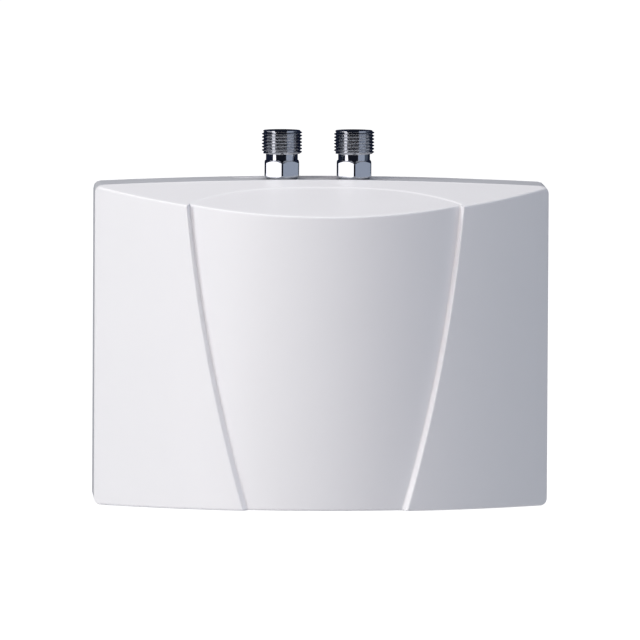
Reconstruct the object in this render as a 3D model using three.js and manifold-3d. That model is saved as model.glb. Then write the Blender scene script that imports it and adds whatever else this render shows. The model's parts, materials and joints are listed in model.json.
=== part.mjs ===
// Electric tankless water heater for hanging on the wall under a basin, with the water and wiring parts inside.
// Millimetres. X runs to the right as seen from the front, the front faces -Y, and Z is up.
// The origin is the centre of the face that lies on the wall, and depth is the distance in front of it.

import * as THREE from 'three';
import { mergeVertices } from 'three/addons/utils/BufferGeometryUtils.js';
import Module from 'manifold-3d';

const wasm = await Module();
wasm.setup();

// Case
const CASE_WIDTH = 186;
const CASE_HEIGHT = 135;
const CASE_DEPTH = 88;
const BASE_DEPTH = 28;
const BACK_PLATE = 3;
const SHELL = 2.6;
const CORNER_RADIUS = 3;
const TOP_BOW = 2.2;
const BOTTOM_BOW = 1.4;
const COVER_SIDE_DEPTH = 1.8;
const TOP_SLOPE_SHARE = 0.17;
const BOTTOM_SLOPE_SHARE = 0.061;
const BOW_STEPS = 14;
const CORNER_STEPS = 3;
const FRONT_STEPS = 28;

// Rim where the cover meets the rear housing
const SEAM_GAP = 0.3;
const TONGUE_INSET = 1.45;
const TONGUE_HEIGHT = 1.6;

// Inset middle panel of the cover
const PANEL_TOP_MARGIN = 36;
const PANEL_BOTTOM_MARGIN = 60.6;
const PANEL_TOP_HALF = CASE_WIDTH / 2 - PANEL_TOP_MARGIN;
const PANEL_BOTTOM_HALF = CASE_WIDTH / 2 - PANEL_BOTTOM_MARGIN;
const PANEL_SIDE_BOW = 3.7;
const PANEL_TOP_BEVEL = 0.5;
const PANEL_BOTTOM_BEVEL = 2.2;
const PANEL_TOP_RECESS = 0.8;
const PANEL_BOTTOM_RECESS = 3.5;
const PANEL_TOP_DROP = 0.75;
const PANEL_BOTTOM_RAISE = 0.5;
const PANEL_REAR = 11.9;
const PANEL_REAR_SHARE = 0.4329897;
const PANEL_REAR_SWEEP = (CASE_DEPTH - BASE_DEPTH - COVER_SIDE_DEPTH) * PANEL_REAR_SHARE;
const PANEL_STEPS = 8;

// Fits
const FIT = 0.3;
const OVERRUN = 5;
const MERGE_DISTANCE = 0.0001;
const PIPE_DEPTH = 17;
const ROUND_SIDES = 16;
const SMALL_SIDES = 8;
const TURN = Math.PI * 2;

const fitting = {
  spacing: 29.65,
  offset: -1.15,
  depth: 14.5,
  threadDiameter: 16.66,
  threadRoot: 14.95,
  threadLength: 9.55,
  threadCrests: 7,
  neckDiameter: 13.1,
  neckLength: 2.75,
  hexFlats: 14,
  hexHeight: 7.1,
  hexChamfer: 1.1,
  shankDiameter: 10.6,
  shankLength: 17,
  bore: 10,
  boreDepth: 17,
  waterway: 6.4,
  socketDepth: 5,
  grooveDiameter: 8.8,
};
const recess = { halfWidth: 37.5, slant: 1.8, depth: 0.6, rear: 4.5, length: 20 };
const bridge = { halfWidth: 33, thickness: 5.5 };
const seal = { outer: 12.6, thickness: 0.8 };
const clip = { width: 20, length: 16, thickness: 1.2 };
const strainer = { outer: 9.4, wall: 0.8, height: 9, slots: 6, slotWidth: 1.2, slotHeight: 5 };
const limiter = { thickness: 3, hole: 3 };
const pipe = { outer: 8, bore: 6, insert: 4, sides: 10, steps: 14, endSteps: 4 };

const HEATER_X_SHARE = 0.2043010753;
const SWITCH_X_SHARE = 0.2258064516;
const TERMINAL_X_SHARE = 0.2688172043;
const SWITCH_DROP = 69.5;
const SWITCH_HEIGHT = 16;
const HEATER_LOW = -46;
const switchX = CASE_WIDTH * SWITCH_X_SHARE;
const switchLow = CASE_HEIGHT / 2 - SWITCH_DROP;

const heater = {
  x: -CASE_WIDTH * HEATER_X_SHARE, near: 5, low: HEATER_LOW, width: 54, depth: 24,
  height: switchLow + SWITCH_HEIGHT - HEATER_LOW,
  boreSpacing: 26, bore: 16, floor: 6, slot: 8, portDrop: 8,
};
const gasket = { thickness: 1.5 };
const lid = { thickness: 7, outletSetback: 3.2 };
const screw = { shaft: 3, head: 5.6, headHeight: 2.2, slotWidth: 0.8, slotDepth: 1 };
const lidScrew = { inset: 3.2, grip: 10 };
const coil = { radius: 4.6, wire: 1.2, turns: 7, steps: 8, sides: 4, topClearance: 7, bottomClearance: 4 };
const coilPin = { diameter: 2.4, collar: 4.4, collarHeight: 1, above: 5, below: 3, sideOffset: 4, frontOffset: 4.5 };

const CHAMBER_OFFSET = 6;
const INLET_OFFSET = 15;
const MICROSWITCH_OFFSET = 16;
const PIVOT_OFFSET = 28;
const TIP_OFFSET = 2;

const flowSwitch = {
  x: switchX, near: 5, low: switchLow, width: 44, depth: 24, height: SWITCH_HEIGHT,
  chamberX: switchX + CHAMBER_OFFSET, chamber: 22, chamberDepth: 8, inletX: switchX - INLET_OFFSET,
  capWidth: 31, capHeight: 12, roof: 3.5,
  membrane: 1.5, screwX: 12.9, screwDepth: 9.3, screwGrip: 8,
};
const plunger = { disc: 18, discHeight: 2, stem: 4, above: 5, travel: 1.5 };
const spring = { radius: 5, wire: 0.9, turns: 3.5, sides: 4, steps: 8 };
const microswitch = {
  x: switchX + MICROSWITCH_OFFSET, near: 12, width: 28, depth: 10, height: 10.2, postX: 7, tab: 3,
  tabHeight: 3, lugThickness: 1.2, lugWidth: 4,
};
const lever = {
  thickness: 0.5, depth: 5, pivotX: switchX + PIVOT_OFFSET, pivotPin: 1.6, pinLength: 8.6,
  tipX: switchX + TIP_OFFSET, rise: 1.5, lift: 2.6,
};
const microScrew = { shaft: 2.4, head: 4.4, headHeight: 1.6, grip: 6 };

const CUTOUT_BELOW_MIDDLE = 2;
const cutout = { drop: heater.height / 2 + CUTOUT_BELOW_MIDDLE, base: 18, baseHeight: 3, body: 14, bodyHeight: 6, tab: 2.6, tabHeight: 2.5, tabOffset: 4.8 };
const resetButton = { diameter: 3.6, proud: 3, seated: 4.5, travel: 2 };
const clamp = { width: 20, length: 40, thickness: 1.2, foot: 8, screwOffset: 15.5, grip: 5 };

const flowScrew = { shaft: 6, head: 9, headHeight: 3, washer: 1.2, washerOuter: 9.4, length: 7 };
const terminalBlock = { x: CASE_WIDTH * TERMINAL_X_SHARE, near: 6, low: -38, width: 36, depth: 15, height: 16, pitch: 11, wireHole: 3 };
const terminalScrew = { shaft: 4, length: 7, proud: 0.5 };
const earth = { x: 8, z: -30, boss: 9, near: 6, stud: 4, nut: 8, nutHeight: 3.2, length: 9 };
const cableClamp = { z: -46.5, width: 34, height: 8, ear: 9, saddle: 9, opening: 8, strap: 3, grip: 6 };
const CABLE_ENTRY_RAISE = 13.5;
const cableEntry = { z: CABLE_ENTRY_RAISE - CASE_HEIGHT / 2, hole: 12, flange: 15.4, flangeThickness: 0.9, bore: 8 };
const WALL_HOLE_SIDE = 11;
const WALL_HOLE_DROP = 17.5;
const wallHole = { diameter: 5, x: CASE_WIDTH / 2 - WALL_HOLE_SIDE, z: CASE_HEIGHT / 2 - WALL_HOLE_DROP };
const lead = { diameter: 2, sides: 5, stepLength: 6.5, firstLayer: CASE_DEPTH / 2, layerPitch: 3.4, rise: 6, insert: 3 };

// Colours, roughness and metalness
const look = {
  whitePlastic: material(0xf1f0f4, 0.22, 0),
  greyPlastic: material(0xbfc0c6, 0.35, 0),
  chrome: material(0xd6dae2, 0.08, 1),
  brass: material(0xc9a24b, 0.3, 1),
  steel: material(0xb7babd, 0.35, 1),
  copper: material(0xb87346, 0.3, 1),
  rubber: material(0x1d1d1f, 0.8, 0),
  darkPlastic: material(0x2b2d31, 0.5, 0),
  blockPlastic: material(0xd9d3c3, 0.5, 0),
  switchPlastic: material(0x3b4c63, 0.45, 0),
  ceramic: material(0xefece2, 0.4, 0),
  redPlastic: material(0xb3241c, 0.4, 0),
  brownWire: material(0x5f3a20, 0.5, 0),
  blueWire: material(0x2a5fae, 0.5, 0),
  greenWire: material(0x5b9a2f, 0.5, 0),
};

const heaterModel = new THREE.Group();

function material(color, roughness, metalness) {
  return new THREE.MeshStandardMaterial({ color, roughness, metalness });
}

// Solids from geometry, and the joins and cuts between them

function signedVolume(places, corners) {
  const a = new THREE.Vector3();
  const b = new THREE.Vector3();
  const c = new THREE.Vector3();
  let sum = 0;
  for (let i = 0; i < corners.length; i += 3) {
    a.fromArray(places, corners[i] * 3);
    b.fromArray(places, corners[i + 1] * 3);
    c.fromArray(places, corners[i + 2] * 3);
    sum += a.dot(b.cross(c));
  }
  return sum / 6;
}

function solid(shape) {
  if (!shape.isBufferGeometry) return shape;
  const plain = shape.clone();
  plain.deleteAttribute('normal');
  plain.deleteAttribute('uv');
  const merged = mergeVertices(plain, MERGE_DISTANCE);
  const places = merged.attributes.position.array;
  const corners = [];
  for (let i = 0; i < merged.index.count; i += 3) {
    const [a, b, c] = [0, 1, 2].map((corner) => merged.index.getX(i + corner));
    if (a !== b && b !== c && c !== a) corners.push(a, b, c);
  }
  if (signedVolume(places, corners) < 0) corners.reverse();
  const mesh = new wasm.Mesh({
    numProp: 3,
    vertProperties: Float32Array.from(places),
    triVerts: Uint32Array.from(corners),
  });
  return new wasm.Manifold(mesh);
}

function join(first, ...others) {
  return others.reduce((whole, other) => whole.add(solid(other)), solid(first));
}

function cut(first, ...tools) {
  return tools.reduce((whole, tool) => whole.subtract(solid(tool)), solid(first));
}

function common(first, ...others) {
  return others.reduce((whole, other) => whole.intersect(solid(other)), solid(first));
}

function addPiece(name, shape, look_) {
  const mesh = solid(shape).getMesh();
  const geometry = new THREE.BufferGeometry();
  geometry.setAttribute('position', new THREE.BufferAttribute(Float32Array.from(mesh.vertProperties), 3));
  geometry.setIndex(new THREE.BufferAttribute(Uint32Array.from(mesh.triVerts), 1));
  geometry.computeVertexNormals();
  const piece = new THREE.Mesh(geometry, look_);
  piece.name = name;
  heaterModel.add(piece);
}

// Basic shapes, placed by x, by depth in front of the wall, and by z

function box(x, near, low, width, depth, height) {
  return new THREE.BoxGeometry(width, depth, height).translate(x, -near - depth / 2, low + height / 2);
}

function post(x, depth, low, diameter, height, sides = ROUND_SIDES) {
  const rod = new THREE.CylinderGeometry(diameter / 2, diameter / 2, height, sides);
  return rod.rotateX(TURN / 4).translate(x, -depth, low + height / 2);
}

function stud(x, near, z, diameter, length, sides = ROUND_SIDES) {
  const rod = new THREE.CylinderGeometry(diameter / 2, diameter / 2, length, sides);
  return rod.translate(x, -near - length / 2, z);
}

function crossRod(left, depth, z, diameter, length, sides = ROUND_SIDES) {
  const rod = new THREE.CylinderGeometry(diameter / 2, diameter / 2, length, sides);
  return rod.rotateZ(TURN / 4).translate(left + length / 2, -depth, z);
}

function revolve(profile, sides = ROUND_SIDES) {
  const points = profile.map(([radius, height]) => new THREE.Vector2(radius, height));
  return new THREE.LatheGeometry(points, sides).rotateX(TURN / 4);
}

function upright(profile, x, depth, low, sides) {
  return revolve(profile, sides).translate(x, -depth, low);
}

function forward(profile, x, near, z, sides) {
  return revolve(profile, sides).rotateX(TURN / 4).translate(x, -near, z);
}

function frontPrism(points, near, far) {
  const shape = new THREE.Shape(points);
  const prism = new THREE.ExtrudeGeometry(shape, { depth: far - near, bevelEnabled: false });
  return prism.rotateX(TURN / 4).translate(0, -near, 0);
}

function planPrism(points, low, high) {
  const shape = new THREE.Shape(points.map((point) => new THREE.Vector2(point.x, -point.y)));
  return new THREE.ExtrudeGeometry(shape, { depth: high - low, bevelEnabled: false }).translate(0, 0, low);
}

function tube(curve, diameter, sides, steps) {
  const ring = new THREE.Shape();
  for (let i = 0; i < sides; i += 1) {
    const angle = (TURN * i) / sides;
    const at = [(diameter / 2) * Math.cos(angle), (diameter / 2) * Math.sin(angle)];
    if (i === 0) ring.moveTo(...at);
    else ring.lineTo(...at);
  }
  return new THREE.ExtrudeGeometry(ring, { steps, extrudePath: curve, bevelEnabled: false });
}

function at(x, depth, z) {
  return new THREE.Vector3(x, -depth, z);
}

// Outline of the case from the front, with bowed top and bottom edges and rounded corners

function cornerPoints(x, z, radius, start) {
  const points = [];
  for (let i = 0; i <= CORNER_STEPS; i += 1) {
    const angle = start + (TURN / 4) * (i / CORNER_STEPS);
    points.push(new THREE.Vector2(x + radius * Math.cos(angle), z + radius * Math.sin(angle)));
  }
  return points;
}

function bowPoints(reach, z, bow) {
  const points = [];
  for (let i = 1; i < BOW_STEPS; i += 1) {
    const x = -reach + (2 * reach * i) / BOW_STEPS;
    points.push(new THREE.Vector2(x, z + bow * (1 - (x / reach) ** 2)));
  }
  return points;
}

function caseOutline(inset, drop = 0, raise = 0) {
  const side = CASE_WIDTH / 2 - inset;
  const top = CASE_HEIGHT / 2 - TOP_BOW - inset - drop;
  const bottom = BOTTOM_BOW - CASE_HEIGHT / 2 + inset + raise;
  const radius = Math.max(CORNER_RADIUS - inset, CORNER_RADIUS / 4);
  const reach = side - radius;
  return [
    ...bowPoints(reach, bottom, -BOTTOM_BOW),
    ...cornerPoints(reach, bottom + radius, radius, -TURN / 4),
    ...cornerPoints(reach, top - radius, radius, 0),
    ...bowPoints(reach, top, TOP_BOW).reverse(),
    ...cornerPoints(-reach, top - radius, radius, TURN / 4),
    ...cornerPoints(-reach, bottom + radius, radius, TURN / 2),
  ];
}

// Plan curve of the cover's front, a parabola from side to side

function frontDepth(x) {
  const sideDepth = BASE_DEPTH + COVER_SIDE_DEPTH;
  return sideDepth + (CASE_DEPTH - sideDepth) * (1 - (x / (CASE_WIDTH / 2)) ** 2);
}

function frontSlant(x) {
  const belly = CASE_DEPTH - BASE_DEPTH - COVER_SIDE_DEPTH;
  return (2 * belly * Math.abs(x)) / (CASE_WIDTH / 2) ** 2;
}

function frontCurve(inset) {
  const reach = CASE_WIDTH / 2 - inset;
  const rear = 0;
  const points = [new THREE.Vector2(-reach, rear), new THREE.Vector2(reach, rear)];
  for (let i = 0; i <= FRONT_STEPS; i += 1) {
    const x = reach * (1 - (2 * i) / FRONT_STEPS);
    points.push(new THREE.Vector2(x, frontDepth(x) - inset * Math.hypot(1, frontSlant(x))));
  }
  return points;
}

// Leans a shape: each point rises by a share of its depth beyond the seam

function lean(shape, share) {
  const matrix = new THREE.Matrix4().set(1, 0, 0, 0, 0, 1, 0, 0, 0, -share, 1, -share * BASE_DEPTH, 0, 0, 0, 1);
  return shape.applyMatrix4(matrix);
}

function caseBody(inset, near, front, drop, raise) {
  const far = CASE_DEPTH + OVERRUN;
  const outline = caseOutline(inset, drop, raise);
  const topLeaning = lean(frontPrism(outline, near, far), -TOP_SLOPE_SHARE);
  const bottomLeaning = lean(frontPrism(outline, near, far), BOTTOM_SLOPE_SHARE);
  return common(topLeaning, bottomLeaning, front);
}

// Inset middle panel: half width, bevel and recess at a height

function panelShare(z) {
  return (CASE_HEIGHT / 2 - z) / CASE_HEIGHT;
}

function panelHalf(z) {
  const share = panelShare(z);
  const straight = PANEL_TOP_HALF + (PANEL_BOTTOM_HALF - PANEL_TOP_HALF) * share;
  return straight + 4 * PANEL_SIDE_BOW * share * (1 - share);
}

function panelBevel(z) {
  return PANEL_TOP_BEVEL + (PANEL_BOTTOM_BEVEL - PANEL_TOP_BEVEL) * panelShare(z);
}

function panelRecess(z) {
  return PANEL_TOP_RECESS + (PANEL_BOTTOM_RECESS - PANEL_TOP_RECESS) * panelShare(z);
}

// The space in front of the middle panel, as a stack of level sections that taper towards the panel

function panelSpace(grow) {
  const places = [];
  const far = CASE_DEPTH + OVERRUN;
  const high = CASE_HEIGHT / 2 + OVERRUN;
  for (let i = 0; i <= PANEL_STEPS; i += 1) {
    const z = -high + (2 * high * i) / PANEL_STEPS;
    const outer = panelHalf(z) + grow;
    const inner = outer - panelBevel(z);
    const edge = frontDepth(outer);
    const floor = frontDepth(inner) - panelRecess(z);
    const spread = ((outer - inner) * (far - floor)) / (edge - floor);
    const section = [[inner, 0], [inner, floor], [inner + spread, far]];
    for (const [x, depth] of section) places.push(x, -depth, z);
    for (const [x, depth] of [...section].reverse()) places.push(-x, -depth, z);
  }
  const ring = 6;
  const corners = [];
  for (let i = 0; i < PANEL_STEPS; i += 1) {
    for (let j = 0; j < ring; j += 1) {
      const a = i * ring + j;
      const b = i * ring + ((j + 1) % ring);
      corners.push(a, b, b + ring, a, b + ring, a + ring);
    }
  }
  const last = PANEL_STEPS * ring;
  for (let j = 1; j < ring - 1; j += 1) {
    corners.push(0, j + 1, j);
    corners.push(last, last + j, last + j + 1);
  }
  const stack = new THREE.BufferGeometry();
  stack.setAttribute('position', new THREE.Float32BufferAttribute(places, 3));
  stack.setIndex(corners);
  const rearArc = [];
  for (let i = 0; i <= FRONT_STEPS; i += 1) {
    const x = (PANEL_TOP_HALF + OVERRUN) * ((2 * i) / FRONT_STEPS - 1);
    const sweep = PANEL_REAR_SWEEP * Math.abs(x / PANEL_TOP_HALF) ** 3;
    rearArc.push(new THREE.Vector2(x, BASE_DEPTH + PANEL_REAR - grow + sweep));
  }
  const right = PANEL_TOP_HALF + OVERRUN;
  rearArc.push(new THREE.Vector2(right, far), new THREE.Vector2(-right, far));
  return common(stack, planPrism(rearArc, -high, high));
}

// The front of the middle panel leans back towards the bottom

function panelFront(inset) {
  const high = CASE_HEIGHT / 2 + OVERRUN;
  const prism = planPrism(frontCurve(inset), -high, high);
  const share = (PANEL_BOTTOM_RECESS - PANEL_TOP_RECESS) / CASE_HEIGHT;
  const setback = PANEL_TOP_RECESS + share * (CASE_HEIGHT / 2);
  const matrix = new THREE.Matrix4().set(1, 0, 0, 0, 0, 1, -share, setback, 0, 0, 1, 0, 0, 0, 0, 1);
  return prism.applyMatrix4(matrix);
}

function wholeFront(inset) {
  const high = CASE_HEIGHT / 2 + OVERRUN;
  return planPrism(frontCurve(inset), -high, high);
}

// Cover

function frontCover() {
  const near = BASE_DEPTH + SEAM_GAP;
  const rear = BASE_DEPTH - OVERRUN;
  const outer = caseBody(0, near, wholeFront(0), 0, 0);
  const panelBody = caseBody(0, near, panelFront(0), PANEL_TOP_DROP, PANEL_BOTTOM_RAISE);
  const skin = join(cut(outer, panelSpace(0)), common(panelBody, outer));
  const hollow = caseBody(SHELL, rear, wholeFront(SHELL), 0, 0);
  const panelHollow = caseBody(SHELL, rear, panelFront(SHELL), PANEL_TOP_DROP, PANEL_BOTTOM_RAISE);
  const space = join(cut(hollow, panelSpace(SHELL)), panelHollow);
  const rebate = frontPrism(caseOutline(TONGUE_INSET - FIT), rear, BASE_DEPTH + TONGUE_HEIGHT + FIT);
  return cut(skin, space, rebate);
}

// Rear housing with its rim, the bridge that carries the fittings, and the seats of the inner pieces

const recessFloor = CASE_HEIGHT / 2 - recess.depth;
const bridgeLow = recessFloor - bridge.thickness;
const fittingXs = { outlet: fitting.offset - fitting.spacing / 2, inlet: fitting.offset + fitting.spacing / 2 };

function seatPlate(piece, x, low, width, height) {
  const rear = BACK_PLATE / 2;
  return box(x, rear, low, width, piece.near - rear, height);
}

function rearHousing() {
  const far = BASE_DEPTH + OVERRUN;
  const tub = cut(
    frontPrism(caseOutline(0), 0, BASE_DEPTH),
    frontPrism(caseOutline(SHELL), BACK_PLATE, far),
  );
  const tongue = cut(
    frontPrism(caseOutline(TONGUE_INSET), BASE_DEPTH - SHELL, BASE_DEPTH + TONGUE_HEIGHT),
    frontPrism(caseOutline(SHELL), BACK_PLATE, far),
  );
  const carrier = box(0, BACK_PLATE / 2, bridgeLow, bridge.halfWidth * 2, BASE_DEPTH - BACK_PLATE / 2 - SEAM_GAP,
    bridge.thickness);
  const seatWidth = heater.width / 6;
  const seats = [
    seatPlate(heater, heater.x - heater.width / 3, heater.low, seatWidth, heater.height),
    seatPlate(heater, heater.x + heater.width / 3, heater.low, seatWidth, heater.height),
    seatPlate(flowSwitch, flowSwitch.x, flowSwitch.low, flowSwitch.width / 2, flowSwitch.height),
    seatPlate(terminalBlock, terminalBlock.x, terminalBlock.low, terminalBlock.width / 2, terminalBlock.height),
    stud(earth.x, BACK_PLATE / 2, earth.z, earth.boss, earth.near - BACK_PLATE / 2),
  ];
  for (const side of [-1, 1]) {
    const postX = microswitch.x + side * microswitch.postX;
    const rear = BACK_PLATE / 2;
    seats.push(stud(postX, rear, microPostZ, microScrew.head + SHELL, microswitch.near - rear));
    const earX = terminalBlock.x + side * (cableClamp.width - cableClamp.ear) / 2;
    const earDepth = cableClamp.saddle + cableClamp.opening - rear;
    seats.push(box(earX, rear, cableClamp.z - cableClamp.height / 2, cableClamp.ear, earDepth, cableClamp.height));
  }
  const body = join(tub, tongue, carrier, ...seats);
  return cut(body, ...housingCuts());
}

function housingCuts() {
  const half = recess.halfWidth;
  const ceiling = CASE_HEIGHT / 2 + OVERRUN;
  const spread = (recess.slant * (ceiling - recessFloor)) / recess.depth;
  const trough = [
    new THREE.Vector2(recess.slant - half, recessFloor),
    new THREE.Vector2(half - recess.slant, recessFloor),
    new THREE.Vector2(half - recess.slant + spread, ceiling),
    new THREE.Vector2(recess.slant - half - spread, ceiling),
  ];
  const cuts = [frontPrism(trough, recess.rear, recess.rear + recess.length)];
  const holeHeight = CASE_HEIGHT / 2 - bridgeLow + 2 * OVERRUN;
  for (const x of Object.values(fittingXs)) {
    cuts.push(post(x, fitting.depth, bridgeLow - OVERRUN, fitting.shankDiameter + 2 * FIT, holeHeight, ROUND_SIDES));
  }
  for (const side of [-1, 1]) {
    for (const z of [-wallHole.z, wallHole.z]) {
      cuts.push(stud(side * wallHole.x, -OVERRUN, z, wallHole.diameter, BACK_PLATE + 2 * OVERRUN, SMALL_SIDES));
    }
    const postX = microswitch.x + side * microswitch.postX;
    const microHole = microScrew.shaft + 2 * FIT;
    cuts.push(stud(postX, microswitch.near - microScrew.grip - FIT, microPostZ, microHole,
      microScrew.grip + OVERRUN, SMALL_SIDES));
    const earX = terminalBlock.x + side * (cableClamp.width - cableClamp.ear) / 2;
    const earTop = cableClamp.saddle + cableClamp.opening;
    cuts.push(stud(earX, earTop - cableClamp.grip - FIT, cableClamp.z, screw.shaft + 2 * FIT,
      cableClamp.grip + OVERRUN, SMALL_SIDES));
  }
  const flangeSpace = cableEntry.flange + 2 * FIT;
  const flangeDepth = OVERRUN + cableEntry.flangeThickness + 2 * FIT;
  cuts.push(stud(terminalBlock.x, -OVERRUN, cableEntry.z, cableEntry.hole, BACK_PLATE + 2 * OVERRUN));
  cuts.push(stud(terminalBlock.x, -OVERRUN, cableEntry.z, flangeSpace, flangeDepth));
  cuts.push(stud(earth.x, BACK_PLATE, earth.z, earth.stud + 2 * FIT, earth.near, SMALL_SIDES));
  return cuts;
}

// Water fittings with their seals and retaining clips

const hexLow = recessFloor + seal.thickness;

function threadProfile() {
  const root = fitting.threadRoot / 2;
  const crest = fitting.threadDiameter / 2;
  const pitch = fitting.threadLength / fitting.threadCrests;
  const base = fitting.hexHeight + fitting.neckLength;
  const points = [];
  for (let i = 0; i < fitting.threadCrests; i += 1) {
    points.push([root, base + pitch * i]);
    points.push([crest, base + pitch * (i + 0.5)]);
  }
  points.push([root, base + fitting.threadLength]);
  return points;
}

function waterFitting(x) {
  const hexRadius = fitting.hexFlats / Math.sqrt(3);
  const hexagon = new THREE.CylinderGeometry(hexRadius, hexRadius, fitting.hexHeight, 6);
  hexagon.rotateY(TURN / 2).rotateX(TURN / 4).translate(0, 0, fitting.hexHeight / 2);
  const bevel = revolve([
    [0, 0], [hexRadius - fitting.hexChamfer, 0], [hexRadius, fitting.hexChamfer],
    [hexRadius, fitting.hexHeight - fitting.hexChamfer], [hexRadius - fitting.hexChamfer, fitting.hexHeight],
    [0, fitting.hexHeight],
  ], ROUND_SIDES);
  const shank = fitting.shankDiameter / 2;
  const groove = fitting.grooveDiameter / 2;
  const grooveTop = bridgeLow - hexLow;
  const grooveLow = grooveTop - clip.thickness - 2 * FIT;
  const top = fitting.hexHeight + fitting.neckLength + fitting.threadLength;
  const stem = revolve([
    [0, -fitting.shankLength], [shank, -fitting.shankLength], [shank, grooveLow], [groove, grooveLow],
    [groove, grooveTop], [shank, grooveTop], [shank, fitting.hexHeight / 2],
    [fitting.neckDiameter / 2, fitting.hexHeight / 2],
    [fitting.neckDiameter / 2, fitting.hexHeight + fitting.neckLength],
    ...threadProfile(), [0, top],
  ], ROUND_SIDES);
  const bored = cut(
    join(common(hexagon, bevel), stem),
    post(0, 0, -fitting.shankLength - OVERRUN, fitting.waterway, top + fitting.shankLength + 2 * OVERRUN),
    post(0, 0, top - fitting.boreDepth, fitting.bore, fitting.boreDepth + OVERRUN),
    post(0, 0, -fitting.shankLength - OVERRUN, pipe.outer + 2 * FIT, fitting.socketDepth + OVERRUN),
  );
  return bored.translate([x, -fitting.depth, hexLow]);
}

function fittingSeal(x) {
  const inner = fitting.shankDiameter / 2 + FIT;
  const outer = seal.outer / 2;
  const ring = [[inner, 0], [outer, 0], [outer, seal.thickness], [inner, seal.thickness], [inner, 0]];
  return upright(ring, x, fitting.depth, recessFloor);
}

function fittingClip(x) {
  const low = bridgeLow - FIT / 2 - clip.thickness;
  const slot = fitting.grooveDiameter + 2 * FIT;
  const near = fitting.depth - clip.length / 2;
  return cut(
    box(x, near, low, clip.width, clip.length, clip.thickness),
    post(x, fitting.depth, low - OVERRUN, slot, clip.thickness + 2 * OVERRUN),
    box(x, fitting.depth, low - OVERRUN, slot, clip.length, clip.thickness + 2 * OVERRUN),
  );
}

const boreFloor = hexLow + fitting.hexHeight + fitting.neckLength + fitting.threadLength - fitting.boreDepth;

function inletStrainer() {
  const low = boreFloor + limiter.thickness + FIT;
  const outer = strainer.outer / 2;
  const inner = outer - strainer.wall;
  const cup = upright([
    [0, 0], [outer, 0], [outer, strainer.height], [inner, strainer.height], [inner, strainer.wall],
    [0, strainer.wall],
  ], fittingXs.inlet, fitting.depth, low);
  const slots = [];
  for (let i = 0; i < strainer.slots / 2; i += 1) {
    const slit = new THREE.BoxGeometry(strainer.outer + OVERRUN, strainer.slotWidth, strainer.slotHeight);
    slit.rotateZ((TURN / strainer.slots) * i);
    slots.push(slit.translate(fittingXs.inlet, -fitting.depth, low + strainer.height / 2));
  }
  return cut(cup, ...slots);
}

function flowLimiter() {
  const disc = post(fittingXs.inlet, fitting.depth, boreFloor, strainer.outer, limiter.thickness);
  const hole = post(fittingXs.inlet, fitting.depth, boreFloor - OVERRUN, limiter.hole, limiter.thickness + 2 * OVERRUN);
  return cut(disc, hole);
}

// Pipes

function hollowPipe(points) {
  const curve = new THREE.CatmullRomCurve3(points, false, 'centripetal');
  const first = curve.getTangent(0).multiplyScalar(-OVERRUN).add(points[0]);
  const last = curve.getTangent(1).multiplyScalar(OVERRUN).add(points[points.length - 1]);
  const longer = new THREE.CatmullRomCurve3([first, ...points, last], false, 'centripetal');
  const run = (diameter) => tube(longer, diameter, pipe.sides, pipe.steps + pipe.endSteps);
  const low = points[0].z;
  const length = points[points.length - 1].z - low;
  return common(cut(run(pipe.outer), run(pipe.bore)), box(0, 0, low, CASE_WIDTH, CASE_DEPTH, length));
}

const pipeTop = hexLow - fitting.shankLength + pipe.insert;
const heaterTop = heater.low + heater.height;
const lidLow = heaterTop + gasket.thickness;
const lidTop = lidLow + lid.thickness;
const switchTop = flowSwitch.low + flowSwitch.height;
const portZ = heaterTop - heater.portDrop;
const bores = [heater.x - heater.boreSpacing / 2, heater.x + heater.boreSpacing / 2];

function bentPipe(x, low, depth, fittingX) {
  const middle = (pipeTop + low) / 2;
  const straight = (pipeTop - low) / 3;
  return hollowPipe([
    at(x, depth, low),
    at(x, depth, low + straight / 2),
    at(x, depth, low + straight),
    at((x + fittingX) / 2, (depth + fitting.depth) / 2, middle),
    at(fittingX, fitting.depth, pipeTop - straight),
    at(fittingX, fitting.depth, pipeTop - straight / 2),
    at(fittingX, fitting.depth, pipeTop),
  ]);
}

function transferPipe() {
  const left = heater.x + heater.width / 2 - pipe.insert;
  const right = flowSwitch.x - flowSwitch.width / 2 + pipe.insert;
  return cut(
    crossRod(left, PIPE_DEPTH, portZ, pipe.outer, right - left),
    crossRod(left - OVERRUN, PIPE_DEPTH, portZ, pipe.bore, right - left + 2 * OVERRUN),
  );
}

// Heating block: two bores with a wire coil each, closed by a gasket and a lid

const socket = pipe.outer + 2 * FIT;
const socketLength = pipe.insert + FIT;
const heaterMiddle = heater.near + heater.depth / 2;
const lidScrewPlaces = [];
for (const sideX of [-1, 1]) {
  for (const sideDepth of [-1, 1]) {
    const x = heater.x + sideX * (heater.width / 2 - lidScrew.inset);
    lidScrewPlaces.push([x, heaterMiddle + sideDepth * (heater.depth / 2 - lidScrew.inset)]);
  }
}

function lidScrewHole([x, depth], low, height) {
  return post(x, depth, low, screw.shaft + 2 * FIT, height, SMALL_SIDES);
}

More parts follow.
